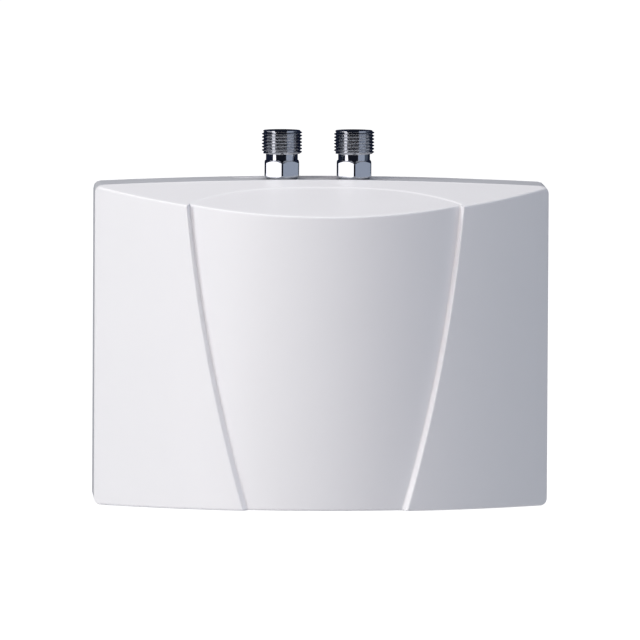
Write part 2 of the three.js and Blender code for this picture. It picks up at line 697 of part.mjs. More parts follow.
function heatingBlock() {
  const body = box(heater.x, heater.near, heater.low, heater.width, heater.depth, heater.height);
  const boreLow = heater.low + heater.floor;
  const cuts = bores.map((x) => post(x, heaterMiddle, boreLow, heater.bore, heater.height));
  const right = heater.x + heater.width / 2;
  cuts.push(crossRod(bores[0], heaterMiddle, boreLow + heater.slot / 2, heater.slot, heater.boreSpacing));
  cuts.push(crossRod(bores[1], PIPE_DEPTH, portZ, fitting.waterway, right - bores[1] + OVERRUN));
  cuts.push(crossRod(right - socketLength, PIPE_DEPTH, portZ, socket, socketLength + OVERRUN));
  const holeLow = heaterTop - lidScrew.grip - FIT;
  for (const place of lidScrewPlaces) cuts.push(lidScrewHole(place, holeLow, lidScrew.grip + OVERRUN));
  const face = heater.near + heater.depth;
  for (const side of [-1, 1]) {
    const z = cutoutZ + side * clamp.screwOffset;
    cuts.push(stud(heater.x, face - clamp.grip - FIT, z, screw.shaft + 2 * FIT, clamp.grip + OVERRUN, SMALL_SIDES));
  }
  return cut(body, ...cuts);
}

function blockGasket() {
  const plate = box(heater.x, heater.near, heaterTop, heater.width, heater.depth, gasket.thickness);
  const through = gasket.thickness + 2 * OVERRUN;
  const cuts = bores.map((x) => post(x, heaterMiddle, heaterTop - OVERRUN, heater.bore, through));
  for (const place of lidScrewPlaces) cuts.push(lidScrewHole(place, heaterTop - OVERRUN, through));
  return cut(plate, ...cuts);
}

const coilPinPlaces = [];
for (const x of bores) {
  for (const side of [-1, 1]) coilPinPlaces.push([x + side * coilPin.sideOffset, heaterMiddle + coilPin.frontOffset]);
}

function blockLid() {
  const plate = box(heater.x, heater.near, lidLow, heater.width, heater.depth, lid.thickness);
  const through = lid.thickness + 2 * OVERRUN;
  const outletDepth = heaterMiddle - lid.outletSetback;
  const cuts = [
    post(bores[0], outletDepth, lidLow - OVERRUN, fitting.waterway, through),
    post(bores[0], outletDepth, lidTop - socketLength, socket, socketLength + OVERRUN),
  ];
  for (const place of lidScrewPlaces) cuts.push(lidScrewHole(place, lidLow - OVERRUN, through));
  for (const [x, depth] of coilPinPlaces) {
    cuts.push(post(x, depth, lidLow - OVERRUN, coilPin.diameter + 2 * FIT, through, SMALL_SIDES));
  }
  return cut(plate, ...cuts);
}

function screwProfile(size, length) {
  const shaft = size.shaft / 2;
  const head = size.head / 2;
  return [[0, -length], [shaft, -length], [shaft, 0], [head, 0], [head, size.headHeight], [0, size.headHeight]];
}

function uprightScrew(size, x, depth, seat, length) {
  const slit = box(x, depth - size.head, seat + size.headHeight - screw.slotDepth, screw.slotWidth, size.head * 2,
    size.headHeight + OVERRUN);
  return cut(upright(screwProfile(size, length), x, depth, seat, SMALL_SIDES), slit);
}

function forwardScrew(size, x, seat, z, length) {
  const slit = box(x, seat + size.headHeight - screw.slotDepth, z - size.head, screw.slotWidth,
    size.headHeight + OVERRUN, size.head * 2);
  return cut(forward(screwProfile(size, length), x, seat, z, SMALL_SIDES), slit);
}

function coilPath(x) {
  const points = [];
  const pinLow = lidLow - coilPin.below - FIT;
  const start = Math.atan2(coilPin.frontOffset, coilPin.sideOffset);
  const high = pinLow - coil.topClearance;
  const low = heater.low + heater.floor + coil.bottomClearance;
  points.push(at(x + coilPin.sideOffset, heaterMiddle + coilPin.frontOffset, pinLow));
  points.push(at(x + coilPin.sideOffset, heaterMiddle + coilPin.frontOffset, pinLow - coil.topClearance / 2));
  const count = coil.turns * coil.steps;
  for (let i = 0; i <= count; i += 1) {
    const angle = start + (TURN * i) / coil.steps;
    const z = high + ((low - high) * i) / count;
    points.push(at(x + coil.radius * Math.cos(angle), heaterMiddle + coil.radius * Math.sin(angle), z));
  }
  points.push(at(x, heaterMiddle, low - coil.wire));
  points.push(at(x, heaterMiddle, (low + high) / 2));
  points.push(at(x, heaterMiddle, high));
  points.push(at(x - coilPin.sideOffset, heaterMiddle + coilPin.frontOffset, pinLow - coil.topClearance / 4));
  points.push(at(x - coilPin.sideOffset, heaterMiddle + coilPin.frontOffset, pinLow));
  return new THREE.CatmullRomCurve3(points, false, 'centripetal');
}

function heatingCoil(x) {
  const curve = coilPath(x);
  curve.arcLengthDivisions = coil.turns * coil.steps * 4;
  return tube(curve, coil.wire, coil.sides, coil.turns * coil.steps + 12);
}

function contactPin([x, depth]) {
  const radius = coilPin.diameter / 2;
  const collar = coilPin.collar / 2;
  const low = -lid.thickness - coilPin.below;
  return upright([
    [0, low], [radius, low], [radius, 0], [collar, 0], [collar, coilPin.collarHeight],
    [radius, coilPin.collarHeight], [radius, coilPin.above], [0, coilPin.above],
  ], x, depth, lidTop, SMALL_SIDES);
}

// Flow switch: a membrane lifts the plunger, which lifts the lever of the microswitch

const capLow = switchTop + flowSwitch.membrane;
const capTop = capLow + flowSwitch.capHeight;
const switchMiddle = flowSwitch.near + flowSwitch.depth / 2;
const switchScrewPlaces = [-1, 1].map((side) => [
  flowSwitch.chamberX + side * flowSwitch.screwX,
  switchMiddle + side * flowSwitch.screwDepth,
]);

function switchBody() {
  const body = box(flowSwitch.x, flowSwitch.near, flowSwitch.low, flowSwitch.width, flowSwitch.depth,
    flowSwitch.height);
  const left = flowSwitch.x - flowSwitch.width / 2;
  const face = flowSwitch.near + flowSwitch.depth;
  const cuts = [
    post(flowSwitch.chamberX, switchMiddle, switchTop - flowSwitch.chamberDepth, flowSwitch.chamber, flowSwitch.height),
    crossRod(left - OVERRUN, PIPE_DEPTH, portZ, fitting.waterway, flowSwitch.chamberX - left + OVERRUN),
    crossRod(left - OVERRUN, PIPE_DEPTH, portZ, socket, socketLength + OVERRUN),
    post(flowSwitch.inletX, PIPE_DEPTH, portZ, fitting.waterway, flowSwitch.height),
    post(flowSwitch.inletX, PIPE_DEPTH, switchTop - socketLength, socket, socketLength + OVERRUN),
    stud(flowSwitch.inletX, face - flowScrew.length - FIT, portZ, flowScrew.shaft + 2 * FIT, flowScrew.length + OVERRUN),
  ];
  for (const [x, depth] of switchScrewPlaces) {
    const holeLow = switchTop - flowSwitch.screwGrip - FIT;
    cuts.push(post(x, depth, holeLow, screw.shaft + 2 * FIT, flowSwitch.screwGrip + OVERRUN, SMALL_SIDES));
  }
  return cut(body, ...cuts);
}

function capScrewHoles(low, height) {
  return switchScrewPlaces.map(([x, depth]) => post(x, depth, low, screw.shaft + 2 * FIT, height, SMALL_SIDES));
}

function membrane() {
  const plate = box(flowSwitch.chamberX, flowSwitch.near, switchTop, flowSwitch.capWidth, flowSwitch.depth,
    flowSwitch.membrane);
  return cut(plate, ...capScrewHoles(switchTop - OVERRUN, flowSwitch.membrane + 2 * OVERRUN));
}

function switchCap() {
  const body = box(flowSwitch.chamberX, flowSwitch.near, capLow, flowSwitch.capWidth, flowSwitch.depth,
    flowSwitch.capHeight);
  const roofLow = capTop - flowSwitch.roof;
  return cut(
    body,
    post(flowSwitch.chamberX, switchMiddle, capLow - OVERRUN, flowSwitch.chamber, roofLow - capLow + OVERRUN),
    post(flowSwitch.chamberX, switchMiddle, capLow, plunger.stem + 2 * FIT, flowSwitch.capHeight + OVERRUN),
    ...capScrewHoles(capLow - OVERRUN, flowSwitch.capHeight + 2 * OVERRUN),
  );
}

function flowPlunger() {
  const disc = plunger.disc / 2;
  const stem = plunger.stem / 2;
  const top = flowSwitch.capHeight + plunger.above;
  return upright([
    [0, FIT], [disc, FIT], [disc, FIT + plunger.discHeight], [stem, FIT + plunger.discHeight],
    [stem, top], [0, top],
  ], flowSwitch.chamberX, switchMiddle, capLow);
}

function plungerSpring() {
  const low = capLow + FIT + plunger.discHeight + FIT + spring.wire / 2;
  const high = capTop - flowSwitch.roof - FIT - spring.wire / 2;
  const points = [];
  const count = spring.turns * spring.steps;
  for (let i = 0; i <= count; i += 1) {
    const angle = (TURN * i) / spring.steps;
    const x = flowSwitch.chamberX + spring.radius * Math.cos(angle);
    const depth = switchMiddle + spring.radius * Math.sin(angle);
    points.push(at(x, depth, low + ((high - low) * i) / count));
  }
  const curve = new THREE.CatmullRomCurve3(points, false, 'centripetal');
  return tube(curve, spring.wire, spring.sides, count);
}

// Microswitch over the plunger, with its lever

const leverLow = capTop + plunger.above + FIT;
const microLow = leverLow + lever.thickness + lever.lift;
const microTop = microLow + microswitch.height;
const microPostZ = microLow + microswitch.height / 2;
const pivotZ = leverLow + lever.thickness / 2 + lever.rise;

function microswitchBody() {
  const middle = microswitch.near + microswitch.depth / 2;
  const body = box(microswitch.x, microswitch.near, microLow, microswitch.width, microswitch.depth, microswitch.height);
  const parts = [];
  const cuts = [];
  const lugLow = pivotZ - lever.pivotPin;
  for (const side of [-1, 1]) {
    const lugNear = middle + side * (lever.depth / 2 + FIT + microswitch.lugThickness / 2) - microswitch.lugThickness / 2;
    const lugHeight = microLow - lugLow + MERGE_DISTANCE;
    parts.push(box(lever.pivotX, lugNear, lugLow, microswitch.lugWidth, microswitch.lugThickness, lugHeight));
    const postX = microswitch.x + side * microswitch.postX;
    parts.push(post(postX, middle, microTop - FIT, microswitch.tab, microswitch.tabHeight + FIT, SMALL_SIDES));
    cuts.push(stud(postX, microswitch.near - OVERRUN, microPostZ, microScrew.shaft + 2 * FIT,
      microswitch.depth + 2 * OVERRUN, SMALL_SIDES));
  }
  const pinSpace = lever.pivotPin + 2 * FIT;
  const pinNear = middle - microswitch.depth;
  cuts.push(stud(lever.pivotX, pinNear, pivotZ, pinSpace, microswitch.depth * 2, SMALL_SIDES));
  return cut(join(body, ...parts), ...cuts);
}

function switchLever() {
  const middle = microswitch.near + microswitch.depth / 2;
  const near = middle - lever.depth / 2;
  const arm = box((lever.tipX + lever.pivotX) / 2, near, leverLow, lever.pivotX - lever.tipX, lever.depth, lever.thickness);
  const riser = box(lever.pivotX, near, leverLow, lever.pivotPin, lever.depth, pivotZ - leverLow);
  const pin = stud(lever.pivotX, middle - lever.pinLength / 2, pivotZ, lever.pivotPin, lever.pinLength, SMALL_SIDES);
  return join(arm, riser, pin);
}

// Thermal cut-out with its reset button, clamped on the front of the heating block

const cutoutZ = heaterTop - cutout.drop;
const heaterFace = heater.near + heater.depth;

function thermalCutout() {
  const parts = [stud(heater.x, heaterFace, cutoutZ, cutout.base, cutout.baseHeight)];
  parts.push(stud(heater.x, heaterFace, cutoutZ, cutout.body, cutout.baseHeight + cutout.bodyHeight));
  const front = heaterFace + cutout.baseHeight + cutout.bodyHeight;
  for (const side of [-1, 1]) {
    const z = cutoutZ + side * cutout.tabOffset;
    parts.push(stud(heater.x, front - FIT, z, cutout.tab, cutout.tabHeight + FIT, SMALL_SIDES));
  }
  const well = resetButton.seated + resetButton.travel + FIT;
  return cut(join(...parts), stud(heater.x, front - well, cutoutZ, resetButton.diameter + 2 * FIT, well + OVERRUN));
}

function cutoutButton() {
  const front = heaterFace + cutout.baseHeight + cutout.bodyHeight;
  const length = resetButton.seated + resetButton.proud;
  return stud(heater.x, front - resetButton.seated, cutoutZ, resetButton.diameter, length, SMALL_SIDES);
}

function cutoutClamp() {
  const seat = heaterFace + cutout.baseHeight;
  const parts = [box(heater.x, seat, cutoutZ - clamp.length / 2, clamp.width, clamp.thickness, clamp.length)];
  const cuts = [stud(heater.x, seat - OVERRUN, cutoutZ, cutout.body + 2 * FIT, clamp.thickness + 2 * OVERRUN)];
  for (const side of [-1, 1]) {
    const middle = cutoutZ + side * (clamp.length - clamp.foot) / 2;
    const footDepth = cutout.baseHeight + clamp.thickness / 2;
    parts.push(box(heater.x, heaterFace, middle - clamp.foot / 2, clamp.width, footDepth, clamp.foot));
    const z = cutoutZ + side * clamp.screwOffset;
    cuts.push(stud(heater.x, heaterFace - OVERRUN, z, screw.shaft + 2 * FIT, cutout.baseHeight + 2 * OVERRUN, SMALL_SIDES));
  }
  return cut(join(...parts), ...cuts);
}

// Flow adjusting screw with its washer, in the front of the switch body

const switchFace = flowSwitch.near + flowSwitch.depth;

function flowScrewPiece() {
  const shaft = flowScrew.shaft / 2;
  const head = flowScrew.head / 2;
  const profile = [
    [0, -flowScrew.length], [shaft, -flowScrew.length], [shaft, flowScrew.washer], [head, flowScrew.washer],
    [head, flowScrew.washer + flowScrew.headHeight], [0, flowScrew.washer + flowScrew.headHeight],
  ];
  const top = switchFace + flowScrew.washer + flowScrew.headHeight;
  const slit = box(flowSwitch.inletX, top - flowScrew.headHeight / 2, portZ - flowScrew.head, flowScrew.washer,
    flowScrew.headHeight, flowScrew.head * 2);
  return cut(forward(profile, flowSwitch.inletX, switchFace, portZ), slit);
}

function flowScrewWasher() {
  const inner = flowScrew.shaft / 2 + FIT;
  const outer = flowScrew.washerOuter / 2;
  const ring = [[inner, 0], [outer, 0], [outer, flowScrew.washer], [inner, flowScrew.washer], [inner, 0]];
  return forward(ring, flowSwitch.inletX, switchFace, portZ);
}

// Mains terminals, earth stud, cable clamp and cable grommet

const terminalFace = terminalBlock.near + terminalBlock.depth;
const terminalXs = [-1, 0, 1].map((i) => terminalBlock.x + i * terminalBlock.pitch);
const wireDepth = terminalBlock.near + terminalBlock.depth / 3;

function mainsTerminals() {
  const body = box(terminalBlock.x, terminalBlock.near, terminalBlock.low, terminalBlock.width, terminalBlock.depth,
    terminalBlock.height);
  const cuts = [];
  const middle = terminalBlock.low + terminalBlock.height / 2;
  for (const x of terminalXs) {
    cuts.push(post(x, wireDepth, terminalBlock.low - OVERRUN, terminalBlock.wireHole,
      terminalBlock.height + 2 * OVERRUN, SMALL_SIDES));
    cuts.push(stud(x, terminalFace - terminalScrew.length - FIT, middle, terminalScrew.shaft + 2 * FIT,
      terminalScrew.length + OVERRUN, SMALL_SIDES));
  }
  return cut(body, ...cuts);
}

function mainsScrew(x) {
  const middle = terminalBlock.low + terminalBlock.height / 2;
  const length = terminalScrew.length + terminalScrew.proud;
  const near = terminalFace - terminalScrew.length;
  const slit = box(x, near + length - screw.slotDepth, middle - terminalScrew.shaft, screw.slotWidth, OVERRUN,
    terminalScrew.shaft * 2);
  return cut(stud(x, near, middle, terminalScrew.shaft, length, SMALL_SIDES), slit);
}

function earthStud() {
  const shaft = earth.stud / 2;
  const nut = stud(earth.x, earth.near, earth.z, earth.nut, earth.nutHeight, 6);
  const root = earth.near - BACK_PLATE - FIT;
  const profile = [[0, -root], [shaft, -root], [shaft, earth.length], [0, earth.length]];
  return join(nut, forward(profile, earth.x, earth.near, earth.z, SMALL_SIDES));
}

const earDepth = cableClamp.saddle + cableClamp.opening;
const earXs = [-1, 1].map((side) => terminalBlock.x + side * (cableClamp.width - cableClamp.ear) / 2);

function cableStrap() {
  const low = cableClamp.z - cableClamp.height / 2;
  const strap = box(terminalBlock.x, earDepth, low, cableClamp.width, cableClamp.strap, cableClamp.height);
  const through = cableClamp.strap + 2 * OVERRUN;
  const holes = earXs.map((x) => (
    stud(x, earDepth - OVERRUN, cableClamp.z, screw.shaft + 2 * FIT, through, SMALL_SIDES)
  ));
  return cut(strap, ...holes);
}

function cableGrommet() {
  const bore = cableEntry.bore / 2;
  const flange = cableEntry.flange / 2;
  const neck = cableEntry.hole / 2 - FIT;
  const rear = FIT;
  const rearEdge = rear + cableEntry.flangeThickness;
  const front = BACK_PLATE + FIT;
  const frontEdge = front + cableEntry.flangeThickness;
  return forward([
    [bore, rear], [flange, rear], [flange, rearEdge], [neck, rearEdge], [neck, front], [flange, front],
    [flange, frontEdge], [bore, frontEdge], [bore, rear],
  ], terminalBlock.x, 0, cableEntry.z);
}

// Wires: each rises forward to its own layer, crosses there and comes back to its terminal

function wire(start, startWay, end, endWay, layer) {
  const depth = lead.firstLayer + lead.layerPitch * layer;
  const firstRise = start.clone().addScaledVector(startWay, lead.rise);
  const lastRise = end.clone().addScaledVector(endWay, lead.rise);
  const points = [
    start, start.clone().lerp(firstRise, 0.6), firstRise,
    at(firstRise.x, depth, firstRise.z), at(lastRise.x, depth, lastRise.z),
    lastRise, end.clone().lerp(lastRise, 0.6), end,
  ];
  const curve = new THREE.CatmullRomCurve3(points, false, 'catmullrom', 0.2);
  return tube(curve, lead.diameter, lead.sides, Math.ceil(curve.getLength() / lead.stepLength));
}

const up = new THREE.Vector3(0, 0, 1);
const out = new THREE.Vector3(0, -1, 0);
const pinTops = coilPinPlaces.map(([x, depth]) => at(x, depth, lidTop + coilPin.above + FIT));
const terminalEnds = terminalXs.map((x) => (
  at(x, wireDepth, terminalBlock.low + terminalBlock.height - lead.insert)
));
const cutoutFront = heaterFace + cutout.baseHeight + cutout.bodyHeight + cutout.tabHeight + FIT;
const cutoutEnds = [-1, 1].map((side) => at(heater.x, cutoutFront, cutoutZ + side * cutout.tabOffset));
const microMiddle = microswitch.near + microswitch.depth / 2;
const microEnds = [-1, 1].map((side) => (
  at(microswitch.x + side * microswitch.postX, microMiddle, microTop + microswitch.tabHeight + FIT)
));
const earthEnd = at(earth.x, earth.near + earth.length + FIT, earth.z);

// Assembly

addPiece('rear_housing', rearHousing(), look.greyPlastic);
addPiece('front_cover', frontCover(), look.whitePlastic);
for (const [side, x] of Object.entries(fittingXs)) {
  addPiece(`${side}_fitting`, waterFitting(x), look.chrome);
  addPiece(`${side}_seal`, fittingSeal(x), look.rubber);
  addPiece(`${side}_clip`, fittingClip(x), look.steel);
}
addPiece('inlet_strainer', inletStrainer(), look.steel);
addPiece('flow_limiter', flowLimiter(), look.darkPlastic);
addPiece('inlet_pipe', bentPipe(flowSwitch.inletX, switchTop - pipe.insert, PIPE_DEPTH, fittingXs.inlet), look.copper);
addPiece('transfer_pipe', transferPipe(), look.copper);
addPiece('outlet_pipe',
  bentPipe(bores[0], lidTop - pipe.insert, heaterMiddle - lid.outletSetback, fittingXs.outlet), look.copper);

addPiece('heating_block', heatingBlock(), look.blockPlastic);
addPiece('block_gasket', blockGasket(), look.rubber);
addPiece('block_lid', blockLid(), look.blockPlastic);
lidScrewPlaces.forEach(([x, depth], i) => {
  const length = lid.thickness + gasket.thickness + lidScrew.grip;
  addPiece(`lid_screw_${i + 1}`, uprightScrew(screw, x, depth, lidTop, length), look.steel);
});
bores.forEach((x, i) => addPiece(`heating_coil_${i + 1}`, heatingCoil(x), look.steel));
coilPinPlaces.forEach((place, i) => addPiece(`coil_pin_${i + 1}`, contactPin(place), look.brass));

addPiece('switch_body', switchBody(), look.switchPlastic);
addPiece('switch_membrane', membrane(), look.rubber);
addPiece('switch_cap', switchCap(), look.switchPlastic);
switchScrewPlaces.forEach(([x, depth], i) => {
  const length = flowSwitch.capHeight + flowSwitch.membrane + flowSwitch.screwGrip;
  addPiece(`cap_screw_${i + 1}`, uprightScrew(screw, x, depth, capTop, length), look.steel);
});
addPiece('plunger', flowPlunger(), look.brass);
addPiece('plunger_spring', plungerSpring(), look.steel);
addPiece('microswitch', microswitchBody(), look.darkPlastic);
addPiece('switch_lever', switchLever(), look.steel);
[-1, 1].forEach((side, i) => {
  const x = microswitch.x + side * microswitch.postX;
  const length = microswitch.depth + microScrew.grip;
  const seat = microswitch.near + microswitch.depth;
  addPiece(`microswitch_screw_${i + 1}`, forwardScrew(microScrew, x, seat, microPostZ, length), look.steel);
});

addPiece('thermal_cutout', thermalCutout(), look.darkPlastic);
addPiece('reset_button', cutoutButton(), look.redPlastic);
addPiece('cutout_clamp', cutoutClamp(), look.steel);
[-1, 1].forEach((side, i) => {
  const seat = heaterFace + cutout.baseHeight + clamp.thickness;
  const length = clamp.grip + cutout.baseHeight + clamp.thickness;
  const z = cutoutZ + side * clamp.screwOffset;
  addPiece(`cutout_screw_${i + 1}`, forwardScrew(screw, heater.x, seat, z, length), look.steel);
});
addPiece('flow_screw', flowScrewPiece(), look.brass);
addPiece('flow_screw_washer', flowScrewWasher(), look.rubber);

addPiece('terminal_block', mainsTerminals(), look.ceramic);
terminalXs.forEach((x, i) => addPiece(`terminal_screw_${i + 1}`, mainsScrew(x), look.brass));
addPiece('earth_stud', earthStud(), look.brass);
addPiece('cable_clamp', cableStrap(), look.ceramic);
earXs.forEach((x, i) => {
  const seat = earDepth + cableClamp.strap;
  const length = cableClamp.strap + cableClamp.grip;
  addPiece(`clamp_screw_${i + 1}`, forwardScrew(screw, x, seat, cableClamp.z, length), look.steel);
});
addPiece('cable_grommet', cableGrommet(), look.rubber);

addPiece('live_wire', wire(terminalEnds[1], up, cutoutEnds[0], out, 0), look.brownWire);
addPiece('switched_wire', wire(cutoutEnds[1], out, microEnds[0], up, 1), look.brownWire);
addPiece('coil_wire', wire(microEnds[1], up, pinTops[3], up, 2), look.brownWire);
addPiece('coil_link', wire(pinTops[1], up, pinTops[2], up, -4), look.brownWire);
addPiece('neutral_wire', wire(pinTops[0], up, terminalEnds[2], up, 3), look.blueWire);
addPiece('earth_wire', wire(terminalEnds[0], up, earthEnd, out, -2), look.greenWire);

export default heaterModel;
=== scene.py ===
"""Dresses the tankless water heater: cover, housing, water fittings and the parts inside."""

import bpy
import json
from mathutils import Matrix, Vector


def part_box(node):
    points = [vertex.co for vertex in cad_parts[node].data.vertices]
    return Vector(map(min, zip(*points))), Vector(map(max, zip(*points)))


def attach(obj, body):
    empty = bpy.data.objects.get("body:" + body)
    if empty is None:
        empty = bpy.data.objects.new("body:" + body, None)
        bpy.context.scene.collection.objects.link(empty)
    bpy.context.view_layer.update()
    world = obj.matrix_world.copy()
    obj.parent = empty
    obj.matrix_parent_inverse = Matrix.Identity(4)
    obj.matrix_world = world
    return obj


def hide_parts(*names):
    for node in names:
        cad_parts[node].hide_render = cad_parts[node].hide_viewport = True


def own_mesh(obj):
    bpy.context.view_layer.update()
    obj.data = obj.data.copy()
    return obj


bl_info = {
    "name": "Tankless Water Heater",
    "version": (1, 0, 0),
    "blender": (4, 5, 0),
    "location": "View3D > Sidebar > Heater",
    "description": "Models the cover, housing, fittings and inner parts of a wall-hung water heater",
    "category": "Object",
}

import json
from math import atan, atan2, ceil, cos, hypot, pi, radians, sin, sqrt, tan

import bmesh
import bpy
from bpy.props import FloatProperty, FloatVectorProperty, PointerProperty
from mathutils import Matrix, Vector

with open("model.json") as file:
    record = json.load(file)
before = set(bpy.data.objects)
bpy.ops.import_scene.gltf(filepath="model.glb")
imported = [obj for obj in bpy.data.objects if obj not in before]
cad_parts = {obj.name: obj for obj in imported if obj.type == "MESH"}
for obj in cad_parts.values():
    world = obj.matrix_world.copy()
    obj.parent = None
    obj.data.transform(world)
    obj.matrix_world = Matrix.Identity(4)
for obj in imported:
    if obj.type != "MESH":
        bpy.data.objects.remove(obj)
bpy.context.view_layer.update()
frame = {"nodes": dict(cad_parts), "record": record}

MM = 0.001
TURN = 2 * pi

# Distances in millimetres within which vertices are merged
WELD = 0.00002
MERGE = 0.0005
COARSE_MERGE = 0.002

# Angles above which an edge is shaded sharp or is eased, and below which it only crosses a flat face
SHARP_ANGLE = radians(38)
EASED_ANGLE = radians(35)
FLAT_ANGLE = radians(1.5)

# Case, in millimetres, as in the solids
SIDE = 93.0
LEVEL = 67.5
CORNER = 3.0
SHELL = 2.6
BASE_DEPTH = 28.0
SEAM_DEPTH = 28.3
REBATE_DEPTH = 29.9
SIDE_DEPTH = 29.8
BELLY = 58.2

# Bow of the edge, slope of the surface and drop of its sunk area at the top end, 1, and the bottom end, -1
BOWS = {1: 2.2, -1: 1.4}
SLOPES = {1: 0.187, -1: 0.061}
DROPS = {1: 0.3, -1: 0.3}

# Middle panel: pairs run from the case's top to its bottom
PANEL_HALVES = (57.1, 32.5)
PANEL_BEVELS = (1.2, 2.2)
PANEL_RECESSES = (0.8, 2.8)
PANEL_BOW = 3.7
PANEL_REAR = 39.9
PANEL_SWEEP = 25.2


def lerp(a, b, share):
    return a + (b - a) * share


def smooth(share):
    share = min(max(share, 0.0), 1.0)
    return share * share * (3 - 2 * share)


def length(name, description, millimetres):
    """A length that a user can change."""
    return FloatProperty(name=name, description=description, unit="LENGTH", default=millimetres * MM)


def turn(name, description, angle):
    """An angle in degrees that a user can change."""
    return FloatProperty(name=name, description=description, subtype="ANGLE", default=radians(angle))


# Node materials

class Wire:
    """A socket that adds Math nodes when it is used in a sum."""

    def __init__(self, tree, socket):
        self.tree = tree
        self.socket = socket

    def math(self, operation, *values):
        return self.tree.node("ShaderNodeMath", {"operation": operation}, dict(enumerate(values)))

    def __add__(self, other):
        return self.math("ADD", self, other)

    __radd__ = __add__

    def __mul__(self, other):
        return self.math("MULTIPLY", self, other)

    __rmul__ = __mul__

    def clamp(self):
        return self.math("MINIMUM", self.math("MAXIMUM", self, 0.0), 1.0)


class Tree:
    """The nodes of one material or world."""

    def __init__(self, owner):
        owner.use_nodes = True
        self.nodes = owner.node_tree.nodes
        self.links = owner.node_tree.links

    def set(self, node, values):
        for key, value in values.items():
            socket = node.inputs[key]
            if isinstance(value, Wire):
                self.links.new(value.socket, socket)
            else:
                socket.default_value = value

    def node(self, kind, settings, values, output=0):
        """Adds a node, its settings first, then the values or links of its sockets."""
        made = self.nodes.new(kind)
        for key, value in settings.items():
            if key == "stops":
                for element, (place, level) in zip(made.color_ramp.elements, value):
                    element.position = place
                    element.color = (level, level, level, 1)
            else:
                setattr(made, key, value)
        self.set(made, values)
        return Wire(self, made.outputs[output])

    def split(self, plain, bright, output):
        """Shows the bright shader to the camera, in reflections and through glass, and else the plain one."""
        path = self.nodes.new("ShaderNodeLightPath").outputs
        camera, glossy, through = [
            Wire(self, path[f"Is {ray} Ray"]) for ray in ("Camera", "Glossy", "Transmission")]
        seen = (camera + glossy + through).clamp()
        mixed = self.node("ShaderNodeMixShader", {}, {"Fac": seen, 1: plain, 2: bright})
        self.set(self.nodes[output], {"Surface": mixed})


class Paint(Tree):
    """One material, its nodes and its shader."""

    def __init__(self, name, colour):
        self.material = bpy.data.materials.new(name)
        super().__init__(self.material)
        self.material.diffuse_color = (*colour, 1)
        self.shader = self.nodes["Principled BSDF"]
        self.place = Wire(self, self.nodes.new("ShaderNodeTexCoord").outputs["Object"])
        self.set(self.shader, {"Base Color": (*colour, 1)})

    def noise(self, scale, detail, rough, stretch=(1, 1, 1), distort=0.0):
        """Noise from 0 to 1; scale is in features per metre."""
        at = self.node("ShaderNodeMapping", {}, {"Vector": self.place, "Scale": stretch})
        return self.node("ShaderNodeTexNoise", {}, {
            "Vector": at, "Scale": scale, "Detail": detail, "Roughness": rough, "Distortion": distort})

    def patches(self, noise, low, high):
        """0 where the noise is below low, and 1 where it is above high."""
        return self.node("ShaderNodeValToRGB", {"stops": ((low, 0.0), (high, 1.0))}, {"Fac": noise})

    def mix(self, share, first, second):
        """Mixes two colours."""
        return self.node("ShaderNodeMix", {"data_type": "RGBA"}, {0: share, 6: first, 7: second}, 2)

    def bump(self, height, distance, strength):
        """Bump of so many millimetres."""
        return self.node("ShaderNodeBump", {}, {
            "Height": height, "Distance": distance * MM, "Strength": strength})

    def finish(self, values):
        """Sets the shader's sockets."""
        self.set(self.shader, values)
        return self.material


def shade(colour, share):
    """The colour made lighter or darker."""
    return (*[min(max(c * share, 0), 1) for c in colour], 1)


def gloss_white(name, colour):
    """Glossy white moulding with the faintest orange peel."""
    paint = Paint(name, colour)
    peel = paint.noise(260, detail=2, rough=0.5)
    fine = paint.noise(2600, detail=3, rough=0.6)
    smudge = paint.patches(paint.noise(38, detail=4, rough=0.6), low=0.42, high=0.68)
    return paint.finish({
        "Base Color": paint.mix(smudge * 0.35, shade(colour, 1.0), shade(colour, 0.985)),
        "Roughness": 0.36 + smudge * 0.05 + fine * 0.03,
        "Specular IOR Level": 0.2,
        "Normal": paint.bump(peel * 0.8 + fine * 0.2, distance=0.012, strength=0.5),
    })


def satin_grey(name, colour):
    """Fine-grained moulded plastic of the housing."""
    paint = Paint(name, colour)
    grain = paint.noise(4200, detail=2, rough=0.6)
    patch = paint.patches(paint.noise(30, detail=3, rough=0.6), low=0.35, high=0.7)
    return paint.finish({
        "Base Color": paint.mix(patch * 0.5, shade(colour, 1.3), shade(colour, 1.23)),
        "Roughness": 0.34 + patch * 0.07,
        "Normal": paint.bump(grain, distance=0.02, strength=0.6),
    })


def plain_plastic(name, colour, roughness, fibre=0.0):
    """Moulded plastic with a fine grain and, where it is filled with glass, short pale fibres."""
    paint = Paint(name, colour)
    grain = paint.noise(3000, detail=2, rough=0.6)
    patch = paint.patches(paint.noise(60, detail=3, rough=0.6), low=0.35, high=0.7)
    base = paint.mix(patch * 0.6, shade(colour, 1.05), shade(colour, 0.9))
    if fibre:
        strands = paint.noise(900, detail=2, rough=0.5, stretch=(1, 6, 1), distort=0.6)
        strands = paint.patches(strands, low=0.6, high=0.72)
        base = paint.mix(strands * fibre, base, shade(colour, 1.5))
    return paint.finish({
        "Base Color": base,
        "Roughness": roughness + patch * 0.08,
        "Normal": paint.bump(grain, distance=0.02, strength=0.6),
    })


def metal(name, colour, roughness, brush=(1, 1, 1)):
    """Metal with machining or drawing marks along one direction and dull patches."""
    paint = Paint(name, colour)
    marks = paint.noise(1400, detail=3, rough=0.65, stretch=brush)
    dull = paint.patches(paint.noise(140, detail=4, rough=0.62), low=0.4, high=0.68)
    return paint.finish({
        "Base Color": paint.mix(dull * 0.6, shade(colour, 1.0), shade(colour, 0.72)),
        "Metallic": 1.0,
        "Roughness": roughness + dull * 0.12 + marks * 0.08,
        "Normal": paint.bump(marks, distance=0.008, strength=0.5),
    })


